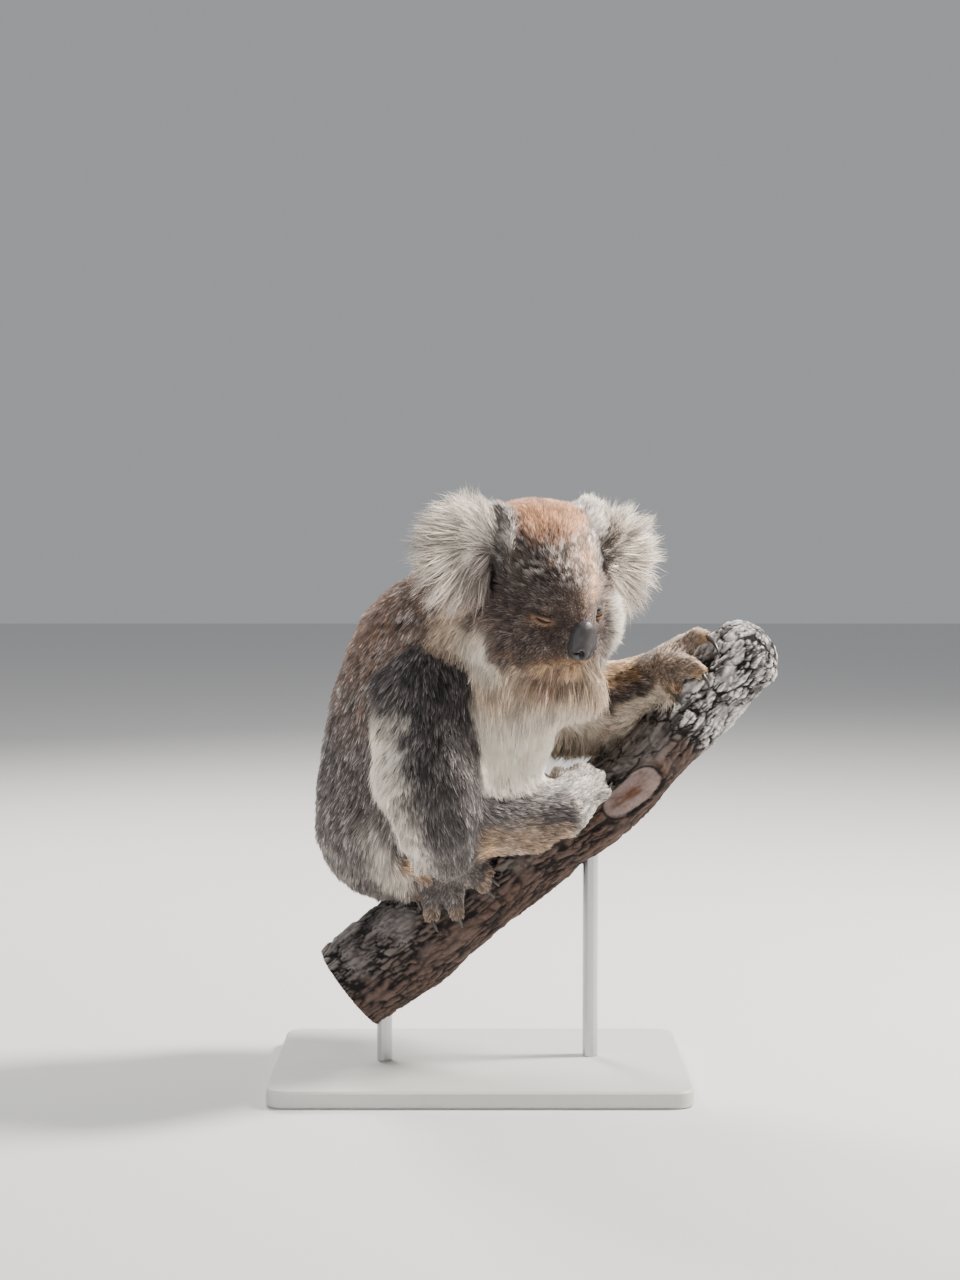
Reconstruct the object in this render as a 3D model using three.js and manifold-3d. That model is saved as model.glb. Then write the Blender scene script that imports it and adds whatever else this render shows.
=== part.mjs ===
// A koala at life size, sitting on a cut length of a sloping branch that a display stand holds up.
// Millimetres, +Z up, the origin at the middle of the underside of the stand's base. +X is along the branch, uphill,
// and the animal's right side faces -Y. Every outline is the outline of the coat, out to the tips of the hair.
import * as THREE from "three";
import { mergeVertices } from "three/addons/utils/BufferGeometryUtils.js";
import { triTable } from "three/addons/objects/MarchingCubes.js";
import Module from "manifold-3d";

const wasm = await Module();
wasm.setup();

// ---------------------------------------------------------------- driving dimensions

const GAP = 0.35; // between pieces that touch
const BASE = { length: 480, width: 300, height: 20, corner: 18, edge: 2.5 };
const ROD = { radius: 9, into: 16, along: [52, 352] }; // how far it enters the branch, and where along it each stands
const SOCKET_DEPTH = 8; // of each rod's hole in the base

const CLAW = { hand: 25, foot: 17, radius: 4.6, ahead: 2.5, sides: 6 };
const EYE_RADIUS = 7.6;
const ALL_AROUND = 2 * Math.PI;

const vec = (x, y, z) => new THREE.Vector3(x, y, z);
const radians = THREE.MathUtils.degToRad;
const mix = THREE.MathUtils.lerp;

// The branch: the middle and the radius at stations along it, from the cut end up to the rounded tip.
const BRANCH = [
  [vec(-153, -10, 105), 55],
  [vec(-88, -5, 156), 57],
  [vec(-25, 0, 200), 54],
  [vec(52, 8, 258), 50],
  [vec(172, 18, 343), 41],
  [vec(235, 28, 407), 41],
  [vec(315, 38, 494), 43],
  [vec(343, 42, 515), 38],
];

// The animal's joints.
const HIP = { right: vec(-106, -28, 286), left: vec(-76, 66, 270) };
const KNEE = { right: vec(5, -79, 330), left: vec(36, 84, 313) };
const ANKLE = { right: vec(92, -60, 322), left: vec(106, 86, 303) };
const SHOULDER = { right: vec(-54, -96, 456), left: vec(27, 38, 453) };
const ELBOW = { right: vec(-55, -138, 375), left: vec(142, 80, 434) };
const WRIST = { right: vec(-37, -108, 284), left: vec(224, 32, 470) };

// ---------------------------------------------------------------- axes of the trunk and of the head

// Forward, left and up of a part of the body that is turned from -Y towards +X, nods down and leans to its right.
function bodyAxes(turn, nod, lean) {
  const forward = vec(Math.sin(turn), -Math.cos(turn), 0);
  const left = vec(Math.cos(turn), Math.sin(turn), 0);
  const axes = [forward, left, vec(0, 0, 1)];
  axes.forEach((a) => a.applyAxisAngle(left.clone(), nod));
  const ahead = axes[0].clone();
  axes.forEach((a) => a.applyAxisAngle(ahead, lean));
  return axes;
}

const TRUNK_AXES = bodyAxes(radians(55), 0, 0);
const HEAD_AXES = bodyAxes(radians(39), radians(15), radians(4));
const HEAD_CENTRE = vec(76, -88, 571);

// A point of the head from its distances forward, left and up of the head's centre.
function onHead(forward, left, up) {
  const [f, l, u] = HEAD_AXES;
  return HEAD_CENTRE.clone().addScaledVector(f, forward).addScaledVector(l, left).addScaledVector(u, up);
}

// ---------------------------------------------------------------- the branch as a surface to grip

const branchLine = new THREE.CatmullRomCurve3(BRANCH.map(([middle]) => middle));
branchLine.arcLengthDivisions = 400;
const BRANCH_LENGTH = branchLine.getLength();
const STATIONS = BRANCH.map((_, i) => branchLine.getLengths(700)[i * 100]);

function branchRadius(along) {
  const last = STATIONS.length - 1;
  const next = Math.min(last, Math.max(1, STATIONS.findIndex((s) => s >= along)));
  const share = (along - STATIONS[next - 1]) / (STATIONS[next] - STATIONS[next - 1]);
  return mix(BRANCH[next - 1][1], BRANCH[next][1], THREE.MathUtils.clamp(share, 0, 1));
}

// The branch's direction there, and the two directions across it: up, and towards the animal's right.
function branchAxes(along) {
  const ahead = branchLine.getTangentAt(along / BRANCH_LENGTH);
  const right = ahead.clone().cross(vec(0, 0, 1)).normalize();
  return [ahead, right, right.clone().cross(ahead)];
}

// A point at a distance along the branch, an angle round it from its top towards -Y, and a height over the bark.
function onBranch([along, around, lift]) {
  const [, right, up] = branchAxes(along);
  const reach = branchRadius(along) + lift;
  return branchLine
    .getPointAt(along / BRANCH_LENGTH)
    .addScaledVector(right, Math.sin(radians(around)) * reach)
    .addScaledVector(up, Math.cos(radians(around)) * reach);
}

// ---------------------------------------------------------------- fields: negative inside, positive outside

// A limb's length, thick at one end and thin at the other, with round ends.
function taper(from, to, startRadius, endRadius) {
  const run = to.clone().sub(from);
  const square = run.lengthSq();
  return (x, y, z) => {
    const [dx, dy, dz] = [x - from.x, y - from.y, z - from.z];
    const share = Math.min(1, Math.max(0, (dx * run.x + dy * run.y + dz * run.z) / square));
    const [ex, ey, ez] = [dx - run.x * share, dy - run.y * share, dz - run.z * share];
    return Math.sqrt(ex * ex + ey * ey + ez * ez) - mix(startRadius, endRadius, share);
  };
}

// An egg with its three half-lengths along three axes.
function egg(centre, halves, axes) {
  return (x, y, z) => {
    const [dx, dy, dz] = [x - centre.x, y - centre.y, z - centre.z];
    let near = 0;
    let far = 0;
    axes.forEach((a, i) => {
      const across = (dx * a.x + dy * a.y + dz * a.z) / halves[i];
      near += across * across;
      far += (across / halves[i]) ** 2;
    });
    const reach = Math.sqrt(near);
    return (reach * (reach - 1)) / Math.sqrt(far + 1e-12);
  };
}

// Two fields as one, with a fillet of about the given width where they meet.
function blend(one, other, width) {
  return (x, y, z) => {
    const a = one(x, y, z);
    const b = other(x, y, z);
    const over = Math.max(width - Math.abs(a - b), 0) / width;
    return Math.min(a, b) - (over * over * width) / 4;
  };
}

const blendAll = (fields, width) => fields.reduce((all, field) => blend(all, field, width));

const FAR = 60; // where a field need only be roughly right, past every fillet's width

// A field with a ball round it, past which the distance to the ball stands in for it.
function inBall(field, points, radius) {
  const { center, radius: reach } = new THREE.Box3().setFromPoints(points).getBoundingSphere(new THREE.Sphere());
  return (x, y, z) => {
    const away = Math.sqrt((x - center.x) ** 2 + (y - center.y) ** 2 + (z - center.z) ** 2) - reach - radius;
    return away > FAR ? away : field(x, y, z);
  };
}

// A bent limb through its joints, with a radius at each.
function chain(joints, radii, width) {
  const lengths = joints.slice(1).map((joint, i) => taper(joints[i], joint, radii[i], radii[i + 1]));
  return blendAll(lengths, width);
}

const within = (one, other) => (x, y, z) => Math.max(one(x, y, z), other(x, y, z));

// ---------------------------------------------------------------- digits, in places on the branch

// Each digit's joints as [along, around, lift], from the palm to the root of its claw, and then its claw's tip.
// 1 and 2 of the forepaw oppose 3, 4 and 5.
const DIGITS = {
  hand_right: {
    1: { joints: [[186, 50, 17], [197, 63, 14], [199, 76, 9]], claw: [200, 95, 4.2] },
    2: { joints: [[190, 42, 18], [207, 52, 14], [210, 68, 9]], claw: [213, 88, 4.2] },
    3: { joints: [[172, 52, 18], [165, 66, 14], [157, 82, 9]], claw: [152, 101, 4.2] },
    4: { joints: [[162, 46, 18], [145, 54, 13], [132, 70, 9]], claw: [127, 89, 4.2] },
    5: { joints: [[160, 34, 18], [143, 30, 14], [132, 42, 9]], claw: [125, 59, 4.2] },
  },
  hand_left: {
    1: { joints: [[540, 14, 16], [527, 24, 14], [523, 36, 11]], claw: [514, 60, 7] },
    2: { joints: [[548, 16, 14], [557, 32, 13], [559, 46, 9]], claw: [550, 74, 4.5] },
    3: { joints: [[557, 2, 14], [573, 3, 19], [588, 6, 18], [594, 12, 12]], claw: [587, 51, 4.5] },
    4: { joints: [[556, -14, 14], [573, -16, 22], [584, -20, 19]], claw: [588, -52, 4.5] },
    5: { joints: [[548, -30, 14], [560, -36, 24], [570, -44, 19]], claw: [572, -78, 4.5] },
  },
  foot_right: {
    1: { joints: [[344, 40, 20], [346, 22, 19], [342, 5, 13]] },
    2: { joints: [[356, 44, 19], [367, 32, 16], [371, 18, 8.5]], claw: [375, -3, 4.5] },
    3: { joints: [[356, 48, 19], [371, 40, 16], [378, 28, 8.5]], claw: [384, 8, 4.5] },
    4: { joints: [[356, 55, 19], [372, 54, 16], [383, 47, 8.5]], claw: [395, 33, 4.5] },
    5: { joints: [[353, 62, 18], [367, 68, 14], [376, 69, 8.5]], claw: [391, 64, 4.5] },
  },
  foot_left: {
    1: { joints: [[352, -70, 18], [344, -46, 16], [348, -28, 11]] },
    2: { joints: [[372, -73, 18], [389, -59, 15], [397, -45, 8.5]], claw: [404, -25, 4.5] },
    3: { joints: [[373, -78, 18], [394, -67, 15], [405, -55, 8.5]], claw: [414, -37, 4.5] },
    4: { joints: [[373, -87, 18], [396, -84, 15], [410, -78, 8.5]], claw: [424, -66, 4.5] },
    5: { joints: [[370, -96, 17], [390, -101, 14], [403, -103, 8.5]], claw: [419, -99, 4.5] },
  },
};
const DIGIT_RADII = { hand: [13.5, 11.5, 10, 8.5], foot: [12.5, 11, 8.5] };

const isHand = (name) => name.startsWith("hand");

function digitField(name, { joints }) {
  const kind = isHand(name) ? "hand" : "foot";
  return chain(joints.map(onBranch), DIGIT_RADII[kind], 4);
}

const digitFields = (name) => Object.values(DIGITS[name]).map((digit) => digitField(name, digit));

// ---------------------------------------------------------------- the animal's outline, part by part

const trunkEgg = (centre, halves) => egg(centre, halves, TRUNK_AXES);
const headEgg = (at, halves) => egg(onHead(...at), halves, HEAD_AXES);

const trunkField = blendAll(
  [
    trunkEgg(vec(-99, 8, 304), [92, 106, 98]), // rump
    trunkEgg(vec(-58, -11, 376), [146, 105, 102]), // belly
    trunkEgg(vec(-50, -27, 446), [138, 97, 92]), // chest
    trunkEgg(vec(-46, -20, 506), [114, 82, 86]), // shoulders
    trunkEgg(vec(36, -62, 442), [50, 60, 62]), // bib
    trunkEgg(vec(80, -88, 478), [30, 36, 38]), // long hair under the chin
    trunkEgg(vec(107, -68, 474), [27, 30, 33]), // and beside it
  ],
  34,
);

const neckField = taper(vec(-24, -32, 528), vec(34, -62, 556), 80, 74);

// One field with another dug out of it, with a soft rim of about the given width.
const dug = (field, hollow, width) => {
  const left = blend((x, y, z) => -field(x, y, z), hollow, width);
  return (x, y, z) => -left(x, y, z);
};

const skull = blendAll(
  [
    headEgg([-32, 0, 24], [68, 87, 77]), // crown
    headEgg([18, 0, 9], [41, 52, 41]), // brow
    headEgg([37, 0, -9], [30, 22, 28]), // bridge
    headEgg([2, 36, -38], [48, 41, 45]), // left cheek
    headEgg([2, -36, -38], [48, 41, 45]), // right cheek
    headEgg([37, 0, -38], [33, 29, 34]), // muzzle
    headEgg([27, 0, -58], [26, 28, 18]), // chin
    headEgg([-30, -62, 70], [30, 26, 32]), // hair before the right ear
    headEgg([-34, 70, 64], [28, 28, 32]), // hair before the left ear
    headEgg([8, 68, -36], [25, 28, 40]), // ruff beside the left cheek
  ],
  18,
);
const eyeHollow = (left) => egg(onHead(64, left, -11), [15, 12, 10], HEAD_AXES);
const headField = inBall(dug(dug(skull, eyeHollow(44), 12), eyeHollow(-44), 12), [HEAD_CENTRE], 125);

// Each ear is a thick round brush of hair: its centre and half-lengths through, across and up, and its turn.
const EARS = {
  right: { centre: onHead(-28, -109, 63), halves: [22, 60, 60], turn: radians(14), droop: onHead(-29, -90, 14) },
  left: { centre: onHead(-21, 117, 37), halves: [22, 60, 64], turn: radians(46), droop: onHead(-19, 104, -31) },
};

const earAxes = (ear) => bodyAxes(ear.turn, radians(6), 0);

function earField(ear) {
  const brush = egg(ear.centre, ear.halves, earAxes(ear));
  return inBall(blend(brush, egg(ear.droop, [18, 30, 42], earAxes(ear)), 26), [ear.centre, ear.droop], 60);
}

const PALM = {
  hand_right: chain([onBranch([186, 42, 24]), onBranch([166, 44, 21])], [25, 24], 6),
  hand_left: chain([onBranch([538, -4, 16]), onBranch([553, -8, 17])], [23, 22], 6),
  foot_right: chain([onBranch([335, 61, 25]), onBranch([352, 54, 19])], [24, 19], 6),
  foot_left: chain([onBranch([338, -84, 24]), onBranch([364, -82, 18])], [24, 18], 6),
};

const digitJoints = (name) => Object.values(DIGITS[name]).flatMap(({ joints }) => joints.map(onBranch));

const pawField = (name) => inBall(blend(blendAll(digitFields(name), 3), PALM[name], 8), digitJoints(name), 15);

// A limb from the body to the paw. The middle radius is that of the elbow or the knee.
function limbField(joints, radii, paw) {
  return inBall(blend(chain(joints, radii, 24), pawField(paw), 16), [...joints, ...digitJoints(paw)], 60);
}

const PALM_MIDDLE = {
  hand_right: onBranch([180, 44, 24]),
  hand_left: onBranch([540, -4, 16]),
  foot_right: onBranch([340, 62, 26]),
  foot_left: onBranch([342, -84, 24]),
};

const LIMBS = {
  arm_right: {
    joints: [SHOULDER.right, ELBOW.right, vec(-45, -131, 326), WRIST.right, PALM_MIDDLE.hand_right],
    radii: [64, 50, 39, 27, 22],
    paw: "hand_right",
    names: ["upper_arm_right", "forearm_right", "hand_right"],
    cuts: [ELBOW.right, WRIST.right],
  },
  arm_left: {
    joints: [SHOULDER.left, vec(88, 68, 440), ELBOW.left, vec(192, 58, 454), WRIST.left, PALM_MIDDLE.hand_left],
    radii: [58, 54, 48, 36, 24, 20],
    paw: "hand_left",
    names: ["upper_arm_left", "forearm_left", "hand_left"],
    cuts: [ELBOW.left, WRIST.left],
  },
  leg_right: {
    joints: [HIP.right, KNEE.right, ANKLE.right, PALM_MIDDLE.foot_right],
    radii: [64, 50, 26, 24],
    paw: "foot_right",
    names: ["thigh_right", "lower_leg_right", "foot_right"],
    cuts: [KNEE.right, ANKLE.right],
  },
  leg_left: {
    joints: [HIP.left, KNEE.left, ANKLE.left, PALM_MIDDLE.foot_left],
    radii: [72, 50, 27, 24],
    paw: "foot_left",
    names: ["thigh_left", "lower_leg_left", "foot_left"],
    cuts: [KNEE.left, ANKLE.left],
  },
};
Object.values(LIMBS).forEach((limb) => {
  limb.field = limbField(limb.joints, limb.radii, limb.paw);
});
const calf = chain([vec(12, -66, 297), vec(62, -64, 294)], [27, 22], 6);
LIMBS.leg_right.field = blend(LIMBS.leg_right.field, calf, 14);

// The whole animal's outline, smooth over every joint.
const bodyField = [
  [neckField, 40],
  [headField, 24],
  [earField(EARS.right), 12],
  [earField(EARS.left), 12],
  [LIMBS.arm_right.field, 22],
  [LIMBS.arm_left.field, 26],
  [LIMBS.leg_right.field, 16],
  [LIMBS.leg_left.field, 16],
].reduce((all, [field, width]) => blend(all, field, width), trunkField);

// ---------------------------------------------------------------- from a field to a mesh

const CORNERS = [
  [0, 0, 0],
  [1, 0, 0],
  [1, 1, 0],
  [0, 1, 0],
  [0, 0, 1],
  [1, 0, 1],
  [1, 1, 1],
  [0, 1, 1],
];
const CORNER_PAIRS = [
  [0, 1],
  [1, 2],
  [2, 3],
  [3, 0],
  [4, 5],
  [5, 6],
  [6, 7],
  [7, 4],
  [0, 4],
  [1, 5],
  [2, 6],
  [3, 7],
];

function slope(field, p) {
  const e = 0.5;
  return vec(
    field(p.x + e, p.y, p.z) - field(p.x - e, p.y, p.z),
    field(p.x, p.y + e, p.z) - field(p.x, p.y - e, p.z),
    field(p.x, p.y, p.z + e) - field(p.x, p.y, p.z - e),
  ).divideScalar(2 * e);
}

// Moves a point along the field's slope on to its surface.
function settle(field, p, rounds = 3) {
  for (let i = 0; i < rounds; i++) {
    const rise = slope(field, p);
    p.addScaledVector(rise, -field(p.x, p.y, p.z) / Math.max(rise.lengthSq(), 0.2));
  }
  return p;
}

// The walls of a box, a little inside it.
function walls(box, cell) {
  const { min, max } = box.clone().expandByScalar(-0.6 * cell);
  return (x, y, z) => Math.max(min.x - x, x - max.x, min.y - y, y - max.y, min.z - z, z - max.z);
}

// Marching cubes: { points, faces } of a field's surface inside a box, closed by the box's own walls.
function march(field, box, cell) {
  const room = box.getSize(vec(0, 0, 0));
  const closed = within(field, walls(box, cell));
  const steps = ["x", "y", "z"].map((a) => Math.ceil(room[a] / cell) + 1);
  const place = (i, j, k) => vec(box.min.x + i * cell, box.min.y + j * cell, box.min.z + k * cell);
  const index = (i, j, k) => (k * (steps[1] + 1) + j) * (steps[0] + 1) + i;
  const values = new Float64Array((steps[0] + 1) * (steps[1] + 1) * (steps[2] + 1));
  const eachCell = (extra, visit) => {
    for (let k = 0; k < steps[2] + extra; k++)
      for (let j = 0; j < steps[1] + extra; j++) for (let i = 0; i < steps[0] + extra; i++) visit(i, j, k);
  };
  eachCell(1, (i, j, k) => {
    const p = place(i, j, k);
    values[index(i, j, k)] = closed(p.x, p.y, p.z) || 1e-6;
  });
  const points = [];
  const faces = [];
  const made = new Map();
  eachCell(0, (i, j, k) => {
    const corners = CORNERS.map(([a, b, c]) => [i + a, j + b, k + c]);
    const inside = corners.map((c) => values[index(...c)] < 0);
    const kind = inside.reduce((bits, isIn, n) => bits | (isIn ? 1 << n : 0), 0);
    if (kind === 0 || kind === 255) return;
    const crossing = (edge) => {
      const [from, to] = CORNER_PAIRS[edge].map((n) => corners[n]);
      const ends = [index(...from), index(...to)];
      const key = Math.min(...ends) * values.length + Math.max(...ends);
      if (!made.has(key)) {
        const share = values[ends[0]] / (values[ends[0]] - values[ends[1]]);
        made.set(key, points.length);
        points.push(place(...from).lerp(place(...to), share));
      }
      return made.get(key);
    };
    for (let n = kind * 16; triTable[n] !== -1; n += 3) {
      faces.push([crossing(triTable[n]), crossing(triTable[n + 2]), crossing(triTable[n + 1])]);
    }
  });
  return { points, faces };
}

const faceNormal = ([a, b, c]) => b.clone().sub(a).cross(c.clone().sub(a));

// Evens out a mesh: each vertex moves to the middle of its neighbours and back on to the surface.
function even({ points, faces }, field, rounds) {
  for (let round = 0; round < rounds; round++) {
    const sums = points.map(() => ({ total: vec(0, 0, 0), count: 0 }));
    faces.forEach((face) =>
      face.forEach((v, i) => {
        sums[v].total.add(points[face[(i + 1) % 3]]);
        sums[v].count += 1;
      }),
    );
    points.forEach((p, v) => {
      p.lerp(sums[v].total.divideScalar(sums[v].count), 0.6);
      settle(field, p, 1);
    });
  }
  points.forEach((p) => settle(field, p));
}

const SLENDER = 0.18; // the least height of a thinned facet, as a share of its longest side
const FOLD = 0.6; // the cosine of the most a facet may turn as its mesh is thinned

// Joins the ends of an edge where every facet round it then still lies within a tolerance of the surface.
function thin({ points, faces }, field, tolerance, longest) {
  const around = points.map(() => new Set());
  faces.forEach((face, i) => face.forEach((v) => around[v].add(i)));
  const neighbours = (v) => new Set([...around[v]].flatMap((f) => faces[f]).filter((w) => w !== v));
  const offSurface = (p) => Math.abs(field(p.x, p.y, p.z)) > tolerance;
  const fits = (f, gone, kept, at) => {
    const before = faces[f].map((v) => points[v]);
    const after = faces[f].map((v) => (v === gone || v === kept ? at : points[v]));
    const sides = after.map((p, i) => p.distanceTo(after[(i + 1) % 3]));
    const facing = faceNormal(after);
    if (Math.max(...sides) > longest || facing.length() < SLENDER * Math.max(...sides) ** 2) return false;
    if (facing.angleTo(faceNormal(before)) > Math.acos(FOLD)) return false;
    const middles = after.map((p, i) => p.clone().lerp(after[(i + 1) % 3], 0.5));
    const centre = after[0].clone().add(after[1]).add(after[2]).divideScalar(3);
    return ![centre, ...middles].some(offSurface);
  };
  for (let joined = 1; joined > 0; ) {
    joined = 0;
    const edges = [];
    faces.forEach((face) =>
      face?.forEach((v, i) => {
        const w = face[(i + 1) % 3];
        if (v < w) edges.push([points[v].distanceTo(points[w]), v, w]);
      }),
    );
    edges.sort((a, b) => a[0] - b[0]);
    for (const [length, kept, gone] of edges) {
      if (length > longest) break;
      if (!around[kept].size || !around[gone].size || !neighbours(kept).has(gone)) continue;
      const shared = [...neighbours(kept)].filter((w) => neighbours(gone).has(w));
      const both = [...around[gone]].filter((f) => around[kept].has(f));
      if (shared.length !== 2 || both.length !== 2) continue;
      const at = settle(field, points[kept].clone().lerp(points[gone], 0.5));
      const stay = [...around[kept], ...around[gone]].filter((f) => !both.includes(f));
      if (!stay.every((f) => fits(f, gone, kept, at))) continue;
      points[kept].copy(at);
      both.forEach((f) => {
        faces[f].forEach((v) => around[v].delete(f));
        faces[f] = null;
      });
      around[gone].forEach((f) => {
        faces[f] = faces[f].map((v) => (v === gone ? kept : v));
        around[kept].add(f);
      });
      around[gone].clear();
      joined += 1;
    }
  }
  return { points, faces: faces.filter((face) => face) };
}

// ---------------------------------------------------------------- solids

function geometryOf({ points, faces }) {
  const geometry = new THREE.BufferGeometry().setFromPoints(points);
  geometry.setIndex(faces.flat());
  return geometry;
}

function solidOf(geometry) {
  const bare = geometry.clone();
  bare.deleteAttribute("normal");
  bare.deleteAttribute("uv");
  const merged = mergeVertices(bare, 1e-3);
  const mesh = new wasm.Mesh({
    numProp: 3,
    vertProperties: new Float32Array(merged.attributes.position.array),
    triVerts: new Uint32Array(merged.index.array),
  });
  return new wasm.Manifold(mesh);
}

// The same shape with its surface moved outwards.
function grown(geometry, by) {
  const bare = geometry.clone();
  bare.deleteAttribute("normal");
  bare.deleteAttribute("uv");
  const out = mergeVertices(bare, 1e-3);
  out.computeVertexNormals();
  const { position, normal } = out.attributes;
  for (let i = 0; i < position.count; i++) {
    const at = vec(0, 0, 0).fromBufferAttribute(position, i);
    at.addScaledVector(vec(0, 0, 0).fromBufferAttribute(normal, i), by);
    position.setXYZ(i, at.x, at.y, at.z);
  }
  return out;
}

function boxAround(points, margin) {
  return new THREE.Box3().setFromPoints(points).expandByScalar(margin);
}

// A field's surface as a geometry of facets no longer than asked, each within a tolerance of it.
function surface(field, box, cell, tolerance, longest) {
  const mesh = march(field, box, cell);
  const bounded = within(field, walls(box, cell));
  even(mesh, bounded, 3);
  return geometryOf(thin(mesh, bounded, tolerance, longest));
}

// Rings of points along a line, joined into a closed tube with flat ends.
function tube(rings) {
  const sides = rings[0].length;
  const points = rings.flat();
  const faces = [];
  for (let ring = 0; ring < rings.length - 1; ring++)
    for (let side = 0; side < sides; side++) {
      const next = (side + 1) % sides;
      const [a, b] = [ring * sides + side, ring * sides + next];
      faces.push([a, b, b + sides], [a, b + sides, a + sides]);
    }
  [0, rings.length - 1].forEach((ring, end) => {
    const middle = rings[ring].reduce((sum, p) => sum.add(p), vec(0, 0, 0)).divideScalar(sides);
    points.push(middle);
    for (let side = 0; side < sides; side++) {
      const [a, b] = [ring * sides + side, ring * sides + ((side + 1) % sides)];
      faces.push(end ? [a, b, points.length - 1] : [b, a, points.length - 1]);
    }
  });
  return geometryOf({ points, faces });
}

// ---------------------------------------------------------------- the branch, the stand, claws, eyes and nose

const BRANCH_SIDES = 18;
const BRANCH_STEP = 27;
const TIP_ROUND = 34; // the length over which the tip rounds off

// Broad lumps and hollows of the wood, in millimetres of height over the plain round.
function woodLumps(along, around) {
  const broad = 2.2 * Math.sin(along / 41 + 2 * around) + 1.6 * Math.sin(along / 23 - 3 * around);
  const shoulder = 3.5 * Math.exp(-(((along - 505) / 16) ** 2)) * Math.max(0, Math.sin(around));
  return broad + shoulder;
}

function branchRing(along, share) {
  return Array.from({ length: BRANCH_SIDES }, (_, i) => {
    const around = (i / BRANCH_SIDES) * ALL_AROUND;
    const [, right, up] = branchAxes(along);
    const reach = (branchRadius(along) + woodLumps(along, around)) * share;
    return branchLine
      .getPointAt(along / BRANCH_LENGTH)
      .addScaledVector(right, Math.sin(around) * reach)
      .addScaledVector(up, Math.cos(around) * reach);
  });
}

function branchGeometry() {
  const straight = BRANCH_LENGTH - TIP_ROUND;
  const count = Math.round(straight / BRANCH_STEP);
  const rings = Array.from({ length: count + 1 }, (_, i) => branchRing((i / count) * straight, 1));
  [0.3, 0.55, 0.78, 0.93].forEach((turn) => {
    const angle = (turn * Math.PI) / 2;
    rings.push(branchRing(straight + TIP_ROUND * Math.sin(angle), Math.cos(angle) ** 0.75));
  });
  return tube(rings);
}

// A claw from its root to its tip. It leaves the way its digit points, bows away from the bark and narrows to a
// blunt point.
function clawGeometry(root, heading, tip, kind) {
  const length = Math.max(tip.distanceTo(root), CLAW[kind] * 0.8);
  const near = branchLine.getPointAt(0.5);
  const nearest = branchLine.getPoints(200).reduce((a, b) => (b.distanceTo(tip) < a.distanceTo(tip) ? b : a), near);
  const outwards = root.clone().lerp(tip, 0.5).sub(nearest).normalize();
  const bow = root.clone().lerp(tip, 0.4);
  bow.addScaledVector(heading, length * 0.3).addScaledVector(outwards, length * 0.2);
  const line = new THREE.QuadraticBezierCurve3(root, bow, tip);
  const rings = [0, 0.3, 0.6, 0.85, 1].map((share) => {
    const radius = Math.max(0.45, CLAW.radius * (kind === "foot" ? 0.8 : 1) * (1 - share) ** 0.55);
    const ahead = line.getTangentAt(share);
    const side = ahead.clone().cross(outwards).normalize();
    const rise = side.clone().cross(ahead);
    return Array.from({ length: CLAW.sides }, (_, i) => {
      const turn = (i / CLAW.sides) * ALL_AROUND;
      return line
        .getPointAt(share)
        .addScaledVector(side, Math.sin(turn) * radius * 0.8)
        .addScaledVector(rise, Math.cos(turn) * radius * 1.15);
    });
  });
  return tube(rings);
}

function baseGeometry() {
  const { length, width, height, corner, edge } = BASE;
  const [x, y] = [length / 2 - edge, width / 2 - edge];
  const outline = new THREE.Shape();
  outline.absarc(x - corner, y - corner, corner, 0, Math.PI / 2);
  outline.absarc(corner - x, y - corner, corner, Math.PI / 2, Math.PI);
  outline.absarc(corner - x, corner - y, corner, Math.PI, 1.5 * Math.PI);
  outline.absarc(x - corner, corner - y, corner, 1.5 * Math.PI, ALL_AROUND);
  const made = new THREE.ExtrudeGeometry(outline, {
    depth: height - 2 * edge,
    bevelThickness: edge,
    bevelSize: edge,
    bevelSegments: 1,
    curveSegments: 4,
  });
  return made.translate(0, 0, edge);
}

function rodGeometry(top, radius) {
  const foot = BASE.height - SOCKET_DEPTH;
  const made = new THREE.CylinderGeometry(radius, radius, top - foot, 16);
  return made.rotateX(Math.PI / 2).translate(0, 0, (top + foot) / 2);
}

// ---------------------------------------------------------------- cutting the animal into its parts

const CUTTER = { cell: 16, tolerance: 3, longest: 70, past: 12 };

const REGIONS = {
  ear_right: earField(EARS.right),
  ear_left: earField(EARS.left),
  arm_right: LIMBS.arm_right.field,
  arm_left: LIMBS.arm_left.field,
  leg_right: LIMBS.leg_right.field,
  leg_left: LIMBS.leg_left.field,
  head: headField,
  neck: neckField,
  trunk: trunkField,
};

// The room of one region: where its own field is lower than those of the regions after it, out to a little past
// the outline. The regions before it have been cut out already.
function roomOf(name) {
  const own = REGIONS[name];
  const order = Object.keys(REGIONS);
  const later = order.slice(order.indexOf(name) + 1);
  return (x, y, z) => {
    const mine = own(x, y, z);
    const theirs = Math.min(...later.map((other) => REGIONS[other](x, y, z)));
    return Math.max((mine - theirs) / 2, mine - CUTTER.past);
  };
}

const REACH = {
  ear_right: boxAround([EARS.right.centre, EARS.right.droop], 95),
  ear_left: boxAround([EARS.left.centre, EARS.left.droop], 95),
  head: boxAround([HEAD_CENTRE], 145),
  neck: boxAround([vec(-24, -32, 528), vec(34, -62, 556)], 105),
};
Object.entries(LIMBS).forEach(([name, limb]) => {
  REACH[name] = boxAround([...limb.joints, ...digitJoints(limb.paw)], 95);
});

// What each region but the trunk is cut out with, and what makes room for it in its neighbours.
const cutters = {};
Object.entries(REACH).forEach(([name, box]) => {
  const geometry = surface(roomOf(name), box, CUTTER.cell, CUTTER.tolerance, CUTTER.longest);
  const inside = solidOf(geometry);
  cutters[name] = { inside, outside: inside.add(solidOf(grown(geometry, GAP))) };
});

// A solid's largest body, without the slivers that a cut may leave.
function largest(solid) {
  return solid.decompose().reduce((most, body) => (body.volume() > most.volume() ? body : most));
}

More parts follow.
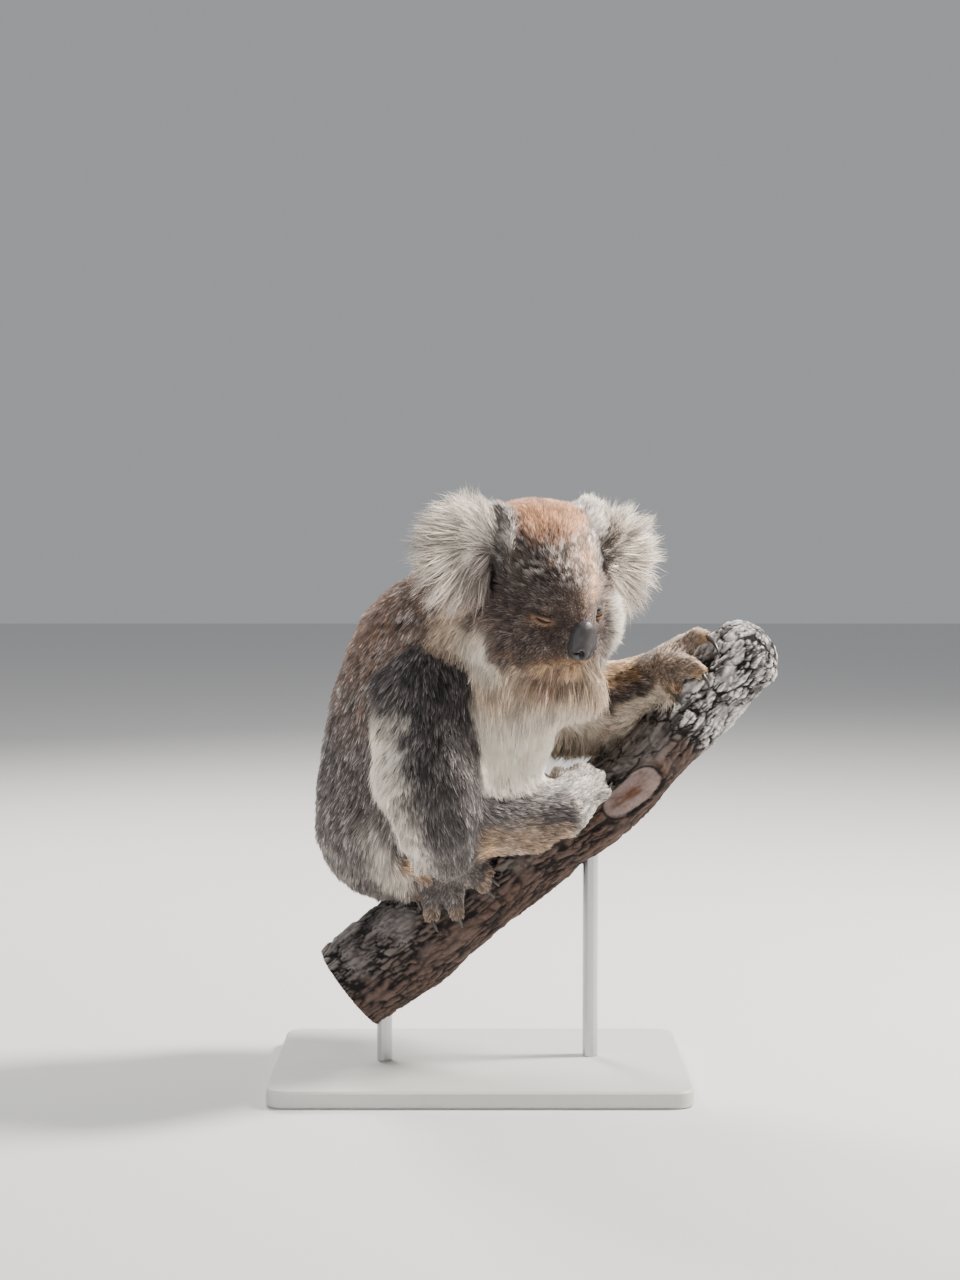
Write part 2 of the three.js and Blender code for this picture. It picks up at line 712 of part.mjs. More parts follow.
// The share of the body that falls to one cutter once those before it have taken theirs.
function share(whole, name) {
  const order = Object.keys(REGIONS);
  const before = order.slice(0, order.indexOf(name));
  const own = name === "trunk" ? whole : whole.intersect(cutters[name].inside);
  return before.reduce((left, other) => left.subtract(cutters[other].outside), own);
}

// How fine each region's mesh is: the marching cell, and the tolerance and the longest edge of the thinned facets.
const FINE = {
  trunk: [14, 1.9, 70],
  neck: [14, 2.2, 70],
  head: [7.5, 0.95, 36],
  ear: [10, 1.5, 48],
  limb: [11.5, 1.6, 52],
  paw: [6, 1.05, 26],
};

function flesh(kind, points, margin) {
  const [cell, tolerance, longest] = FINE[kind];
  return solidOf(surface(bodyField, boxAround(points, margin), cell, tolerance, longest));
}

// The outline of a limb near its paw, of the same animal but meshed finely.
function limbParts(name) {
  const { joints, names, cuts, paw } = LIMBS[name];
  const coarse = share(flesh("limb", joints, 96), name);
  const fine = share(flesh("paw", [...digitJoints(paw), cuts[1], PALM_MIDDLE[paw]], 44), name);
  const planes = cuts.map((cut) => {
    const at = joints.indexOf(cut);
    const normal = joints[at + 1].clone().sub(joints[at]).normalize();
    normal.add(cut.clone().sub(joints[at - 1]).normalize()).normalize();
    return { normal: normal.toArray(), offset: normal.dot(cut) };
  });
  const beyond = (solid, { normal, offset }) => solid.trimByPlane(normal, offset + GAP / 2);
  const before = (solid, { normal, offset }) => solid.trimByPlane(normal.map((n) => -n), GAP / 2 - offset);
  return {
    [names[0]]: before(coarse, planes[0]),
    [names[1]]: before(beyond(coarse, planes[0]), planes[1]),
    [names[2]]: beyond(fine, planes[1]),
  };
}

// ---------------------------------------------------------------- the parts and their colours

const finish = (color, roughness) => new THREE.MeshStandardMaterial({ color, roughness, metalness: 0 });

const FINISH = {
  greyFur: finish("#7d766f", 0.95),
  paleFur: finish("#d9d0c2", 0.95),
  brownFur: finish("#6f5340", 0.95),
  earFur: finish("#b9aea0", 0.95),
  nose: finish("#3d3a3c", 0.55),
  eye: finish("#1d120c", 0.1),
  claw: finish("#3b3836", 0.35),
  bark: finish("#6d6159", 0.9),
  plinth: finish("#d8d4cc", 0.6),
  rod: new THREE.MeshStandardMaterial({ color: "#a9abad", roughness: 0.3, metalness: 1 }),
};

const koala = new THREE.Group();
koala.name = "koala";

function addPart(name, geometry, material) {
  const mesh = new THREE.Mesh(geometry, material);
  mesh.name = name;
  koala.add(mesh);
}

function addSolid(name, solid, material) {
  const { vertProperties, numProp, triVerts } = largest(solid).getMesh();
  const geometry = new THREE.BufferGeometry();
  const buffer = new THREE.InterleavedBuffer(vertProperties, numProp);
  geometry.setAttribute("position", new THREE.InterleavedBufferAttribute(buffer, 3, 0));
  geometry.setIndex(new THREE.BufferAttribute(triVerts, 1));
  addPart(name, geometry, material);
}

// Everything hard that the flesh or the bark makes room for.
const eyes = { right: onHead(41, -39, -13), left: onHead(41, 39, -13) };
const eyeGeometry = ({ x, y, z }) => new THREE.IcosahedronGeometry(EYE_RADIUS, 2).translate(x, y, z);
const noseField = blendAll(
  [headEgg([68, 0, -28], [13, 16, 19]), headEgg([67, 0, -43], [14, 18, 14])],
  10,
);
const noseGeometry = surface(noseField, boxAround([onHead(69, 0, -31)], 42), 6, 0.6, 20);
const clawGeometries = {};
Object.entries(DIGITS).forEach(([paw, digits]) =>
  Object.entries(digits).forEach(([number, { joints, claw }]) => {
    if (!claw) return;
    const heading = onBranch(joints.at(-1)).sub(onBranch(joints.at(-2))).normalize();
    const root = onBranch(joints.at(-1)).addScaledVector(heading, CLAW.ahead);
    const name = "claw_" + paw + "_" + number;
    clawGeometries[name] = clawGeometry(root, heading, onBranch(claw), isHand(paw) ? "hand" : "foot");
  }),
);

const rodPlaces = ROD.along.map((along) => branchLine.getPointAt(along / BRANCH_LENGTH));
const rodTops = ROD.along.map((along, i) => rodPlaces[i].z - branchRadius(along) * 1.1 + ROD.into);
const rodSolid = (i, radius) => solidOf(rodGeometry(rodTops[i], radius).translate(rodPlaces[i].x, rodPlaces[i].y, 0));
const rodHoles = rodPlaces.map((_, i) => rodSolid(i, ROD.radius + GAP).translate([0, 0, GAP]));
const rodFeet = rodPlaces.map((_, i) => rodSolid(i, ROD.radius + GAP).translate([0, 0, -GAP]));
const cutAll = (solid, tools) => tools.reduce((left, tool) => left.subtract(tool), solid);

const bark = branchGeometry();
const roomForClaws = Object.values(clawGeometries).map((claw) => solidOf(grown(claw, GAP)));
const roomForBark = solidOf(grown(bark, GAP));
const roomForFace = [eyeGeometry(eyes.right), eyeGeometry(eyes.left), noseGeometry].map((g) => solidOf(grown(g, GAP)));

const body = {};
Object.keys(LIMBS).forEach((name) => Object.assign(body, limbParts(name)));
Object.entries(EARS).forEach(([side, ear]) => {
  body["ear_" + side] = share(flesh("ear", [ear.centre, ear.droop], 100), "ear_" + side);
});
body.head = cutAll(share(flesh("head", [HEAD_CENTRE], 138), "head"), roomForFace);
body.neck = share(flesh("neck", [vec(14, -52, 546)], 124), "neck");
body.trunk = share(flesh("trunk", [vec(-98, 8, 304), vec(0, -40, 500)], 172), "trunk");

const furOf = (name) => {
  if (name.startsWith("ear")) return FINISH.earFur;
  if (name === "head" || name === "neck") return FINISH.brownFur;
  return name.startsWith("foot") || name.startsWith("lower_leg") ? FINISH.paleFur : FINISH.greyFur;
};
Object.entries(body).forEach(([name, solid]) => {
  addSolid(name, cutAll(solid, [roomForBark, ...roomForClaws]), furOf(name));
});
addSolid("perch_branch", cutAll(solidOf(bark), rodHoles), FINISH.bark);
Object.entries(clawGeometries).forEach(([name, claw]) => addPart(name, claw, FINISH.claw));
Object.entries(eyes).forEach(([side, place]) => addPart("eye_" + side, eyeGeometry(place), FINISH.eye));
addPart("nose", noseGeometry, FINISH.nose);

addSolid("stand_base", cutAll(solidOf(baseGeometry()), rodFeet), FINISH.plinth);
rodPlaces.forEach(({ x, y }, i) => {
  addPart("stand_rod_" + (i + 1), rodGeometry(rodTops[i], ROD.radius).translate(x, y, 0), FINISH.rod);
});

export default koala;
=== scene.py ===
"""A life-size koala on a branch perch: skin, coat, face and claws, the bark, the stand, and a studio."""

import math
from itertools import product
from types import SimpleNamespace

import bmesh
import bpy
import numpy as np
from mathutils import Matrix, Vector
from mathutils.bvhtree import BVHTree
from mathutils.kdtree import KDTree


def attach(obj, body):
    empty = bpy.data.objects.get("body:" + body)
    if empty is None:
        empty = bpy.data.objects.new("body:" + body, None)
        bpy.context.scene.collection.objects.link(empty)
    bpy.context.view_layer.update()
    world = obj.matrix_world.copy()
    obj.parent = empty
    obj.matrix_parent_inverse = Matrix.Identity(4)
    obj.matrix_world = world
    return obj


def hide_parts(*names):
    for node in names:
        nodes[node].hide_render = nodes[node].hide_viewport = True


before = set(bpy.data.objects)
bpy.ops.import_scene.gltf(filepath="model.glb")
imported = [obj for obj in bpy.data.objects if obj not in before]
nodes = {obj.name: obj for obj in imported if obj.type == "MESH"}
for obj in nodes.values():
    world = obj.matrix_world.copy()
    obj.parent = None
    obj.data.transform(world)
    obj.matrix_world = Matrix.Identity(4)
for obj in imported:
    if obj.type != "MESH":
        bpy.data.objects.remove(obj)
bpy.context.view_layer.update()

MM = 0.001
rng = np.random.default_rng(11)

# ------------------------------------------------------------------ the camera

CAMERA_AT = Vector((0.0, -2.4466, 0.6432))
CAMERA_TARGET = Vector((0.0, 0.0, 0.515))

camera_data = bpy.data.cameras.new("camera")
camera_data.lens = 58.9
camera = bpy.data.objects.new("camera", camera_data)
camera.location = CAMERA_AT
camera.rotation_euler = (CAMERA_TARGET - CAMERA_AT).to_track_quat("-Z", "Y").to_euler()
bpy.context.scene.collection.objects.link(camera)
bpy.context.scene.camera = camera

# ------------------------------------------------------------------ the animal's frame, as in the part


def body_axes(turn, nod, lean):
    """Forward, left and up, as rows, of a part turned from -Y towards +X that nods down and leans right."""
    turn, nod, lean = (math.radians(a) for a in (turn, nod, lean))
    left = Vector((math.cos(turn), math.sin(turn), 0))
    axes = [Vector((math.sin(turn), -math.cos(turn), 0)), left, Vector((0, 0, 1))]
    axes = [Matrix.Rotation(nod, 3, left) @ a for a in axes]
    return np.array([Matrix.Rotation(lean, 3, axes[0]) @ a for a in axes])


def metres(*numbers):
    return np.array(numbers, float) * MM


TRUNK_AXES = body_axes(55, 0, 0)
HEAD_AXES = body_axes(39, 15, 4)
HEAD_CENTRE = metres(76, -88, 571)
HIP = {"right": metres(-106, -28, 286), "left": metres(-76, 66, 270)}
KNEE = {"right": metres(5, -79, 330), "left": metres(36, 84, 313)}
ANKLE = {"right": metres(92, -60, 322), "left": metres(106, 86, 303)}
SHOULDER = {"right": metres(-54, -96, 456), "left": metres(27, 38, 453)}
ELBOW = {"right": metres(-55, -138, 375), "left": metres(142, 80, 434)}
WRIST = {"right": metres(-37, -108, 284), "left": metres(224, 32, 470)}
BRANCH = np.array(
    [
        [-153, -10, 105, 55],
        [-88, -5, 156, 57],
        [-25, 0, 200, 54],
        [52, 8, 258, 50],
        [172, 18, 343, 41],
        [235, 28, 407, 41],
        [315, 38, 494, 43],
        [343, 42, 515, 38],
    ]
)
EYE = {"right": (41, -39, -13), "left": (41, 39, -13)}
EYE_RADIUS = 7.6
EARS = {
    "right": {"centre": (-28, -109, 63), "axes": body_axes(14, 6, 0), "side": -1},
    "left": {"centre": (-21, 117, 37), "axes": body_axes(46, 6, 0), "side": 1},
}


def on_head(*place):
    """A point from its millimetres forward, left and up of the head's centre."""
    return HEAD_CENTRE + metres(*place) @ HEAD_AXES


def in_head(points):
    """Millimetres forward, left and up of the head's centre."""
    return (points - HEAD_CENTRE) @ HEAD_AXES.T / MM


# ------------------------------------------------------------------ arrays, noise and meshes


def unit(vectors):
    return vectors / np.maximum(np.linalg.norm(vectors, axis=-1, keepdims=True), 1e-12)


def ramp(values, start, end):
    """0 before start, 1 past end, smooth between."""
    t = np.clip((values - start) / (end - start), 0, 1)
    return t * t * (3 - 2 * t)


def bump_at(values, middle, width):
    """A round hump of height 1."""
    return np.exp(-(((values - middle) / width) ** 2))


def hashed(cells, seed):
    """Even numbers from 0 to 1, one for each whole-numbered cell."""
    cells = cells.astype(np.int64)
    h = cells[..., 0] * 73856093 ^ cells[..., 1] * 19349663 ^ cells[..., 2] * 83492791
    h = (h ^ (seed * 265443577)) & 0xFFFFFFFF
    for shift, factor in ((16, 0x45D9F3B), (13, 0x3C6EF35F)):
        h = ((h ^ (h >> shift)) * factor) & 0xFFFFFFFF
    return ((h ^ (h >> 16)) & 0xFFFFFF) / float(0xFFFFFF)


def noise(points, size, seed):
    """Smooth noise from -1 to 1, in lumps of about the given size."""
    place = points / size + 31.7
    cell = np.floor(place)
    part = place - cell
    part = part * part * (3 - 2 * part)
    total = np.zeros(len(points))
    for corner in product((0, 1), repeat=3):
        weight = np.prod(np.where(corner, part, 1 - part), axis=1)
        total += weight * hashed(cell + np.array(corner), seed)
    return 2 * total - 1


def layered(points, size, seed, layers=3):
    """Noise with finer and weaker noise added to it."""
    parts = [noise(points, size / 2**i, seed + i) / 1.7**i for i in range(layers)]
    return sum(parts) / sum(1 / 1.7**i for i in range(layers))


def nearest_seats(place, seed):
    """With one point scattered in each cell of a grid: the nearest, its distance, and the next one's."""
    home = np.floor(place)
    nearest = np.full(len(place), 9.0)
    second = nearest.copy()
    seats = place.copy()
    for step in product((-1, 0, 1), repeat=3):
        cell = home + np.array(step)
        seat = cell + np.stack([hashed(cell, seed + k) for k in range(3)], axis=1)
        away = np.linalg.norm(place - seat, axis=1)
        closer = away < nearest
        second = np.where(closer, nearest, np.minimum(second, away))
        seats = np.where(closer[:, None], seat, seats)
        nearest = np.where(closer, away, nearest)
    return seats, nearest, second


def plates(points, size, seed):
    """A pattern of cracked plates: how far each point is from a crack, in sizes, and its plate's number."""
    seats, nearest, second = nearest_seats(points / size + 57.3, seed + 1)
    return second - nearest, hashed(np.floor(seats), seed + 4)


def tree_of(places):
    """A tree that finds the nearest of the places, and gives its number."""
    tree = KDTree(len(places))
    for number, place in enumerate(places):
        tree.insert(place, number)
    tree.balance()
    return tree


def new_object(name, mesh):
    made = bpy.data.objects.new(name, mesh)
    bpy.context.scene.collection.objects.link(made)
    return made


def read(things, field, width, kind=float):
    """One field of all of a mesh's vertices, edges or the like, with a row for each."""
    found = np.empty(len(things) * width, kind)
    things.foreach_get(field, found)
    return found.reshape(-1, width)


def points_of(mesh):
    return read(mesh.vertices, "co", 3)


def set_points(mesh, points):
    mesh.vertices.foreach_set("co", np.ascontiguousarray(points, np.float32).ravel())
    mesh.update()


def normals_of(mesh):
    return read(mesh.vertex_normals, "vector", 3)


def edges_of(mesh):
    return read(mesh.edges, "vertices", 2, np.int64)


def shade_smooth(mesh):
    mesh.polygons.foreach_set("use_smooth", [True] * len(mesh.polygons))


def add_mark(mesh, name, values):
    made = mesh.attributes.new(name, "FLOAT", "POINT")
    made.data.foreach_set("value", np.ascontiguousarray(values, np.float32))


def relaxed(values, edges, rounds, strength):
    """Each row moved towards the mean of its neighbours along the edges, a few times."""
    count = np.maximum(np.bincount(edges.ravel(), minlength=len(values)), 1)[:, None]
    heads, tails = edges[:, 0], edges[:, 1]
    for _ in range(rounds):
        means = np.empty_like(values)
        for k in range(values.shape[1]):
            column = values[:, k]
            means[:, k] = np.bincount(heads, column[tails], len(values))
            means[:, k] += np.bincount(tails, column[heads], len(values))
        values = values + strength * (means / count - values)
    return values


def finished(bm, name):
    """A bmesh as a new object of the scene."""
    mesh = bpy.data.meshes.new(name)
    bm.to_mesh(mesh)
    bm.free()
    shade_smooth(mesh)
    return new_object(name, mesh)


def fused(thing, name, cell):
    """The object's closed shapes as one evenly meshed surface, in a new object."""
    remesh = thing.modifiers.new("fuse", "REMESH")
    remesh.mode = "VOXEL"
    remesh.voxel_size = cell
    graph = bpy.context.evaluated_depsgraph_get()
    mesh = bpy.data.meshes.new_from_object(thing.evaluated_get(graph))
    bpy.data.objects.remove(thing)
    shade_smooth(mesh)
    return new_object(name, mesh)


def copied_nodes(names, grow):
    """Copies of CAD nodes in one bmesh, merged and each grown by a length."""
    bm = bmesh.new()
    for name in names:
        bm.from_mesh(nodes[name].data)
    bmesh.ops.remove_doubles(bm, verts=bm.verts, dist=1e-6)
    bm.normal_update()
    for v in bm.verts:
        v.co += v.normal * grow
    return bm


# ------------------------------------------------------------------ materials


class Value:
    """A number that varies over a surface. Sums, products and the like of it add Math nodes."""

    def __init__(self, finish, socket):
        self.finish, self.socket = finish, socket

    def math(self, operation, *others, clamp=False):
        made = self.finish.tree.nodes.new("ShaderNodeMath")
        made.operation, made.use_clamp = operation, clamp
        for socket, value in zip(made.inputs, others):
            self.finish.feed(socket, value)
        return Value(self.finish, made.outputs[0])

    def __add__(self, other):
        return self.math("ADD", self, other)

    __radd__ = __add__

    def __mul__(self, other):
        return self.math("MULTIPLY", self, other)

    __rmul__ = __mul__

    def __sub__(self, other):
        return self.math("SUBTRACT", self, other)

    def __rsub__(self, other):
        return self.math("SUBTRACT", other, self)

    def clamped(self):
        return self.math("ADD", self, 0.0, clamp=True)


class Finish:
    """A material under construction round its Principled shader."""

    def __init__(self, name, **plain):
        """Plain values are set on the shader's own sockets, named with _ for each space."""
        self.material = bpy.data.materials.new(name)
        self.material.use_nodes = True
        self.tree = self.material.node_tree
        self.shader = next(n for n in self.tree.nodes if n.type == "BSDF_PRINCIPLED")
        for socket, value in plain.items():
            self.shader.inputs[socket.replace("_", " ")].default_value = value

    def feed(self, socket, value):
        if isinstance(value, Value):
            self.tree.links.new(value.socket, socket)
        elif isinstance(value, tuple) and socket.type == "RGBA":
            socket.default_value = (*value[:3], 1.0)
        else:
            socket.default_value = value

    def node(self, kind, settings, inputs, output=0):
        made = self.tree.nodes.new("ShaderNode" + kind)
        for name, value in settings.items():
            setattr(made, name, value)
        for name, value in inputs.items():
            self.feed(made.inputs[name], value)
        return Value(self, made.outputs[output])

    def mark(self, name):
        return self.node("Attribute", {"attribute_name": name}, {}, "Fac")

    def place(self, scale=(1, 1, 1)):
        where = self.node("TexCoord", {}, {}, "Object")
        return self.node("Mapping", {}, {"Vector": where, "Scale": scale})

    def noise(self, size, detail=3.0, rough=0.55, place=None):
        inputs = {"Scale": 1 / size, "Detail": detail, "Roughness": rough}
        inputs["Vector"] = place or self.place()
        return self.node("TexNoise", {}, inputs, 0)

    def blend(self, one, other, amount):
        made = self.tree.nodes.new("ShaderNodeMix")
        made.data_type = "RGBA"
        for name, value in (("Factor_Float", amount), ("A_Color", one), ("B_Color", other)):
            self.feed(next(s for s in made.inputs if s.identifier == name), value)
        return Value(self, next(s for s in made.outputs if s.identifier == "Result_Color"))

    def brighten(self, colour, amount):
        inputs = {0: colour, "Scale": amount}
        return self.node("VectorMath", {"operation": "SCALE"}, inputs, 0)

    def bump(self, height, strength, distance):
        inputs = {"Height": height, "Strength": strength, "Distance": distance}
        self.set("Normal", self.node("Bump", {}, inputs))

    def set(self, socket, value):
        self.feed(self.shader.inputs[socket], value)


# The coat's colours.
GRIZZLE = (0.098, 0.085, 0.084)
BROWN = (0.150, 0.088, 0.060)
RUST = (0.450, 0.215, 0.105)
TAN = (0.580, 0.360, 0.190)
CREAM = (0.860, 0.775, 0.660)
SILVER = (0.520, 0.465, 0.440)
DARK = (0.014, 0.013, 0.016)
FROST = (0.560, 0.490, 0.450)
LID = (0.210, 0.120, 0.080)
# The dark mark holds dark fur and also painted shade: in clefts and folds, over and round the eyes, and by
# the ears.
MARKS = ("brown", "rust", "silver", "tan", "cream", "dark")


def coat_colour(finish):
    colour = GRIZZLE
    for name, other in zip(MARKS, (BROWN, RUST, SILVER, TAN, CREAM, DARK)):
        colour = finish.blend(colour, other, finish.mark(name))
    return colour


def coat_finish():
    fur = Finish("coat", Roughness=0.62, Specular_IOR_Level=0.32, Sheen_Weight=0.12, Sheen_Roughness=0.5)
    tip, frost, shade = fur.mark("tip"), fur.mark("frost"), fur.mark("shade")
    colour = fur.blend(coat_colour(fur), FROST, (frost * tip).clamped())
    # Each tuft darkens towards its root, less on cream and tan hair: partly the hair's own colour, partly
    # painted shade deep in the coat.
    depth = 0.22 + 1.06 * tip + 0.5 * (fur.mark("cream") + 0.6 * fur.mark("tan")).clamped() * (1 - tip)
    fur.set("Base Color", fur.brighten(colour, shade * depth))
    return fur.material


def skin_finish():
    skin = Finish("skin", Roughness=0.8, Specular_IOR_Level=0.25)
    colour = skin.brighten(coat_colour(skin), 0.55 + 0.25 * skin.noise(0.004))
    colour = skin.blend(colour, LID, skin.mark("lid"))
    colour = skin.blend(colour, (0.012, 0.009, 0.009), skin.mark("rim"))
    skin.set("Base Color", colour)
    skin.bump(skin.noise(0.0012, 2.0), 0.35, 0.0006)
    return skin.material


# ------------------------------------------------------------------ the skin

ARM_PARTS = ("upper_arm", "forearm", "hand")
LEG_PARTS = ("thigh", "lower_leg", "foot")
LIMB_NODES = [f"{part}_{side}" for side in ("right", "left") for part in ARM_PARTS + LEG_PARTS]
REGIONS = ["trunk", "neck", "head", "ear_right", "ear_left", *LIMB_NODES]
SKIN_CELL = 2.7 * MM

# How deep the coat is over the skin, in millimetres.
COAT_DEPTH = {"trunk": 8.5, "neck": 9.0, "head": 5.0, "upper_arm": 7.5, "forearm": 6.0, "hand": 1.8}
COAT_DEPTH |= {"thigh": 7.0, "lower_leg": 5.5, "foot": 2.2, "ear": 1.0}

PINNA = {"radius": 33.0, "thick": 4.2, "cup": 9.0, "inwards": 20.0}
STEM = {"half": (9, 22, 24), "inwards": 26, "down": 6}  # what joins an ear's shell to the head


def kind_of(region):
    return region.replace("_right", "").replace("_left", "")


def pinna_place(ear):
    """The middle of an ear's shell, nearer to the head than the middle of its brush of hair."""
    centre = on_head(*ear["centre"])
    inwards = -ear["side"] * HEAD_AXES[1] * 0.95 - HEAD_AXES[2] * 0.3
    return centre + unit(inwards) * PINNA["inwards"] * MM


def add_pinna(bm, ear):
    """An ear's cupped shell and its stem, as closed shapes."""
    made = bmesh.ops.create_uvsphere(bm, u_segments=40, v_segments=24, radius=1.0)
    axes, centre = ear["axes"], pinna_place(ear)
    for v in made["verts"]:
        ahead, across, up = v.co.y, v.co.x, v.co.z
        reach = across * across + up * up
        depth = PINNA["thick"] * ahead + PINNA["cup"] * (reach - 0.6)
        local = metres(depth, across * PINNA["radius"], up * PINNA["radius"])
        v.co = Vector(centre + local @ axes)
    root = centre - (ear["side"] * STEM["inwards"] * HEAD_AXES[1] + STEM["down"] * HEAD_AXES[2]) * MM
    stem = bmesh.ops.create_icosphere(bm, subdivisions=3, radius=1.0)
    for v in stem["verts"]:
        v.co = Vector(root + metres(v.co.y, v.co.x, v.co.z) * STEM["half"] @ axes)


# Pieces of their own that the skin closes over, and how far each is grown for that.
FILLERS = {"eye_right": 0.6 * MM, "eye_left": 0.6 * MM, "nose": -4.5 * MM}


def flesh_surface():
    """The animal's outline as one even surface, closed over the eyes and the nose's root, with the ears."""
    bm = copied_nodes([r for r in REGIONS if not r.startswith("ear")], 0.5 * MM)
    for ear in EARS.values():
        add_pinna(bm, ear)
    for name, grow in FILLERS.items():
        piece = copied_nodes([name], grow)
        mesh = bpy.data.meshes.new("filler")
        piece.to_mesh(mesh)
        piece.free()
        bm.from_mesh(mesh)
        bpy.data.meshes.remove(mesh)
    return fused(finished(bm, "outline"), "skin", SKIN_CELL)


def region_shares(points, edges):
    """How far each point belongs to each region, soft at the borders."""
    corners, faces, owner = [], [], []
    for number, name in enumerate(REGIONS):
        if name.startswith("ear"):
            continue
        mesh = nodes[name].data
        mesh.calc_loop_triangles()
        start = len(corners)
        corners.extend(v.co[:] for v in mesh.vertices)
        faces.extend(tuple(start + i for i in t.vertices) for t in mesh.loop_triangles)
        owner.extend([number] * (len(faces) - len(owner)))
    tree = BVHTree.FromPolygons(corners, faces)
    nearest = np.array([owner[tree.find_nearest(Vector(p))[2]] for p in points])
    for side, ear in EARS.items():
        local = (points - pinna_place(ear)) @ ear["axes"].T / MM
        reach = np.hypot(local[:, 1], local[:, 2]) / (PINNA["radius"] * 1.08)
        inside = (reach < 1) & (np.abs(local[:, 0]) < 16) & (np.abs(in_head(points)[:, 1]) > 72)
        nearest[inside] = REGIONS.index("ear_" + side)
    shares = np.eye(len(REGIONS))[nearest]
    return relaxed(shares, edges, 8, 0.6)


def eye_axes(side):
    """An eye's axes as rows: outwards, along the lids from the inner to the outer corner, and up."""
    sign = -1 if side == "right" else 1
    out = unit(np.array([0.90, sign * 0.43, 0.06]) @ HEAD_AXES)
    along = np.array([0.0, sign * 1.0, 0.27]) @ HEAD_AXES
    along = unit(along - out * (along @ out))
    up = np.cross(out, along) * (1 if side == "left" else -1)
    return np.array([out, along, up])


SLIT = {"half": 1.24, "open": 0.165, "sag": 0.14}  # radians at the eye's middle
OVER_EYE = 0.25  # millimetres of skin over the eyeball, and how deep it turns in at the slit
SLIT_DEPTH = 3.2


def lid_places(points, side):
    """For points round an eye: their place in the eye's axes and its length, in millimetres, the radians
    above the lids' middle, and the millimetres from the slit's edge."""
    axes = eye_axes(side)
    local = (points - on_head(*EYE[side])) @ axes.T / MM
    away = np.linalg.norm(local, axis=1)
    along = np.arctan2(local[:, 1], local[:, 0])
    across = np.arcsin(np.clip(local[:, 2] / np.maximum(away, 1e-6), -1, 1))
    share = np.clip(np.abs(along) / SLIT["half"], 0, 1)
    middle = -SLIT["sag"] * (1 - share**2) * 0.7
    outer = 1 + 0.45 * np.clip(along / SLIT["half"], -1, 1)
    opening = SLIT["open"] * outer * (1 - share**2) ** 1.5 * np.where(across > middle, 0.75, 1.25)
    beyond = np.maximum(np.abs(along) - SLIT["half"], 0)
    edge = (np.hypot(np.abs(across - middle), beyond) - opening) * EYE_RADIUS
    return local, away, across - middle, edge


def with_lids(points):
    """Closes the skin over each eyeball in two lids with a slit between them."""
    points = points.copy()
    marks = {"lid": np.zeros(len(points)), "rim": np.zeros(len(points))}
    for side in EYE:
        local, away, across, edge = lid_places(points, side)
        near = (away < 16) & (local[:, 0] > -4)
        turn = np.arctan2(np.hypot(local[:, 1], local[:, 2]), np.maximum(local[:, 0], 1e-6))
        fold = -0.9 * bump_at(edge, 5.2, 1.1) * (across > 0) - 0.5 * bump_at(edge, 4.4, 0.9) * (across < 0)
        swell = 0.8 * bump_at(edge, 2.4, 1.6) + 0.7 * bump_at(edge, 7.2, 1.8)
        surface = EYE_RADIUS + OVER_EYE
        target = surface + 0.7 * ramp(edge, 0.0, 1.2) + swell + fold
        target = np.where(edge < 0, surface - SLIT_DEPTH * ramp(-edge, 0.0, 0.7), target)
        amount = (1 - ramp(turn, 0.95, 1.55)) * (1 - ramp(away, 11.5, 15.5)) * near
        wanted = local * (target / np.maximum(away, 1e-6))[:, None]
        moved = local + (wanted - local) * amount[:, None]
        points = np.where(near[:, None], on_head(*EYE[side]) + moved * MM @ eye_axes(side), points)
        lid = near * (1 - ramp(edge + 0.3 * noise(points, 1.5 * MM, 17), 1.3, 2.3)) * (amount > 0.05)
        marks["lid"] = np.maximum(marks["lid"], lid)
        corner = near * bump_at(local[:, 2] + 1.1, 0, 0.55) * ramp(np.abs(local[:, 1]), 6.0, 7.5)
        corner *= 1 - ramp(np.abs(local[:, 1]), 9.5, 12.5)
        rim = np.maximum(near * (1 - ramp(edge, 0.1, 0.7)) * (amount > 0.5), 0.8 * corner)
        marks["rim"] = np.maximum(marks["rim"], rim)
    return points, marks


def mouth_depth(head):
    """Millimetres from the mouth's line, for places in the head's own millimetres."""
    side = np.abs(head[:, 1])
    line_up = -61 - 4.5 * ramp(side, 2, 16) + 7.0 * ramp(side, 20, 40)
    line_ahead = 68 - 0.020 * side**2
    near = (head[:, 0] > line_ahead - 22) & (side < 37)
    return np.where(near, np.abs(head[:, 2] - line_up), 99.0)


def with_face(points, normals):
    """The folds of the face: the mouth, full lips, a groove beside the nose, brows."""
    head = in_head(points)
    f, side, u = head[:, 0], np.abs(head[:, 1]), head[:, 2]
    lift = -2.6 * bump_at(mouth_depth(head), 0, 1.8)
    lift += 2.4 * bump_at(side, 17, 9) * bump_at(u, -53, 8) * ramp(f, 35, 50)
    lift += -2.2 * bump_at(side, 21, 4) * bump_at(u, -24, 16) * ramp(f, 40, 55)
    lift += 2.2 * bump_at(side, 33, 12) * bump_at(u, 3, 5) * ramp(f, 30, 45)
    lift += 1.6 * bump_at(side, 36, 14) * bump_at(u, -27, 5) * ramp(f, 30, 45)
    return points + normals * (lift * MM)[:, None]


def refined(mesh):
    """Finer quads round each eye."""
    bm = bmesh.new()
    bm.from_mesh(mesh)
    for reach in (17, 15, 12.5):
        chosen = set()
        for side in EYE:
            centre = Vector(on_head(*EYE[side]) + eye_axes(side)[0] * 6 * MM)
            chosen |= {e for e in bm.edges if (e.verts[0].co - centre).length < reach * MM}
        bmesh.ops.subdivide_edges(bm, edges=list(chosen), cuts=1, use_grid_fill=True)
    bm.to_mesh(mesh)
    bm.free()
    shade_smooth(mesh)


skin = flesh_surface()
refined(skin.data)
skin_edges = edges_of(skin.data)
outline = points_of(skin.data)
shares = region_shares(outline, skin_edges)
share_of = {name: shares[:, i] for i, name in enumerate(REGIONS)}


def kind_share(*kinds):
    return sum(share_of[r] for r in REGIONS if kind_of(r) in kinds)


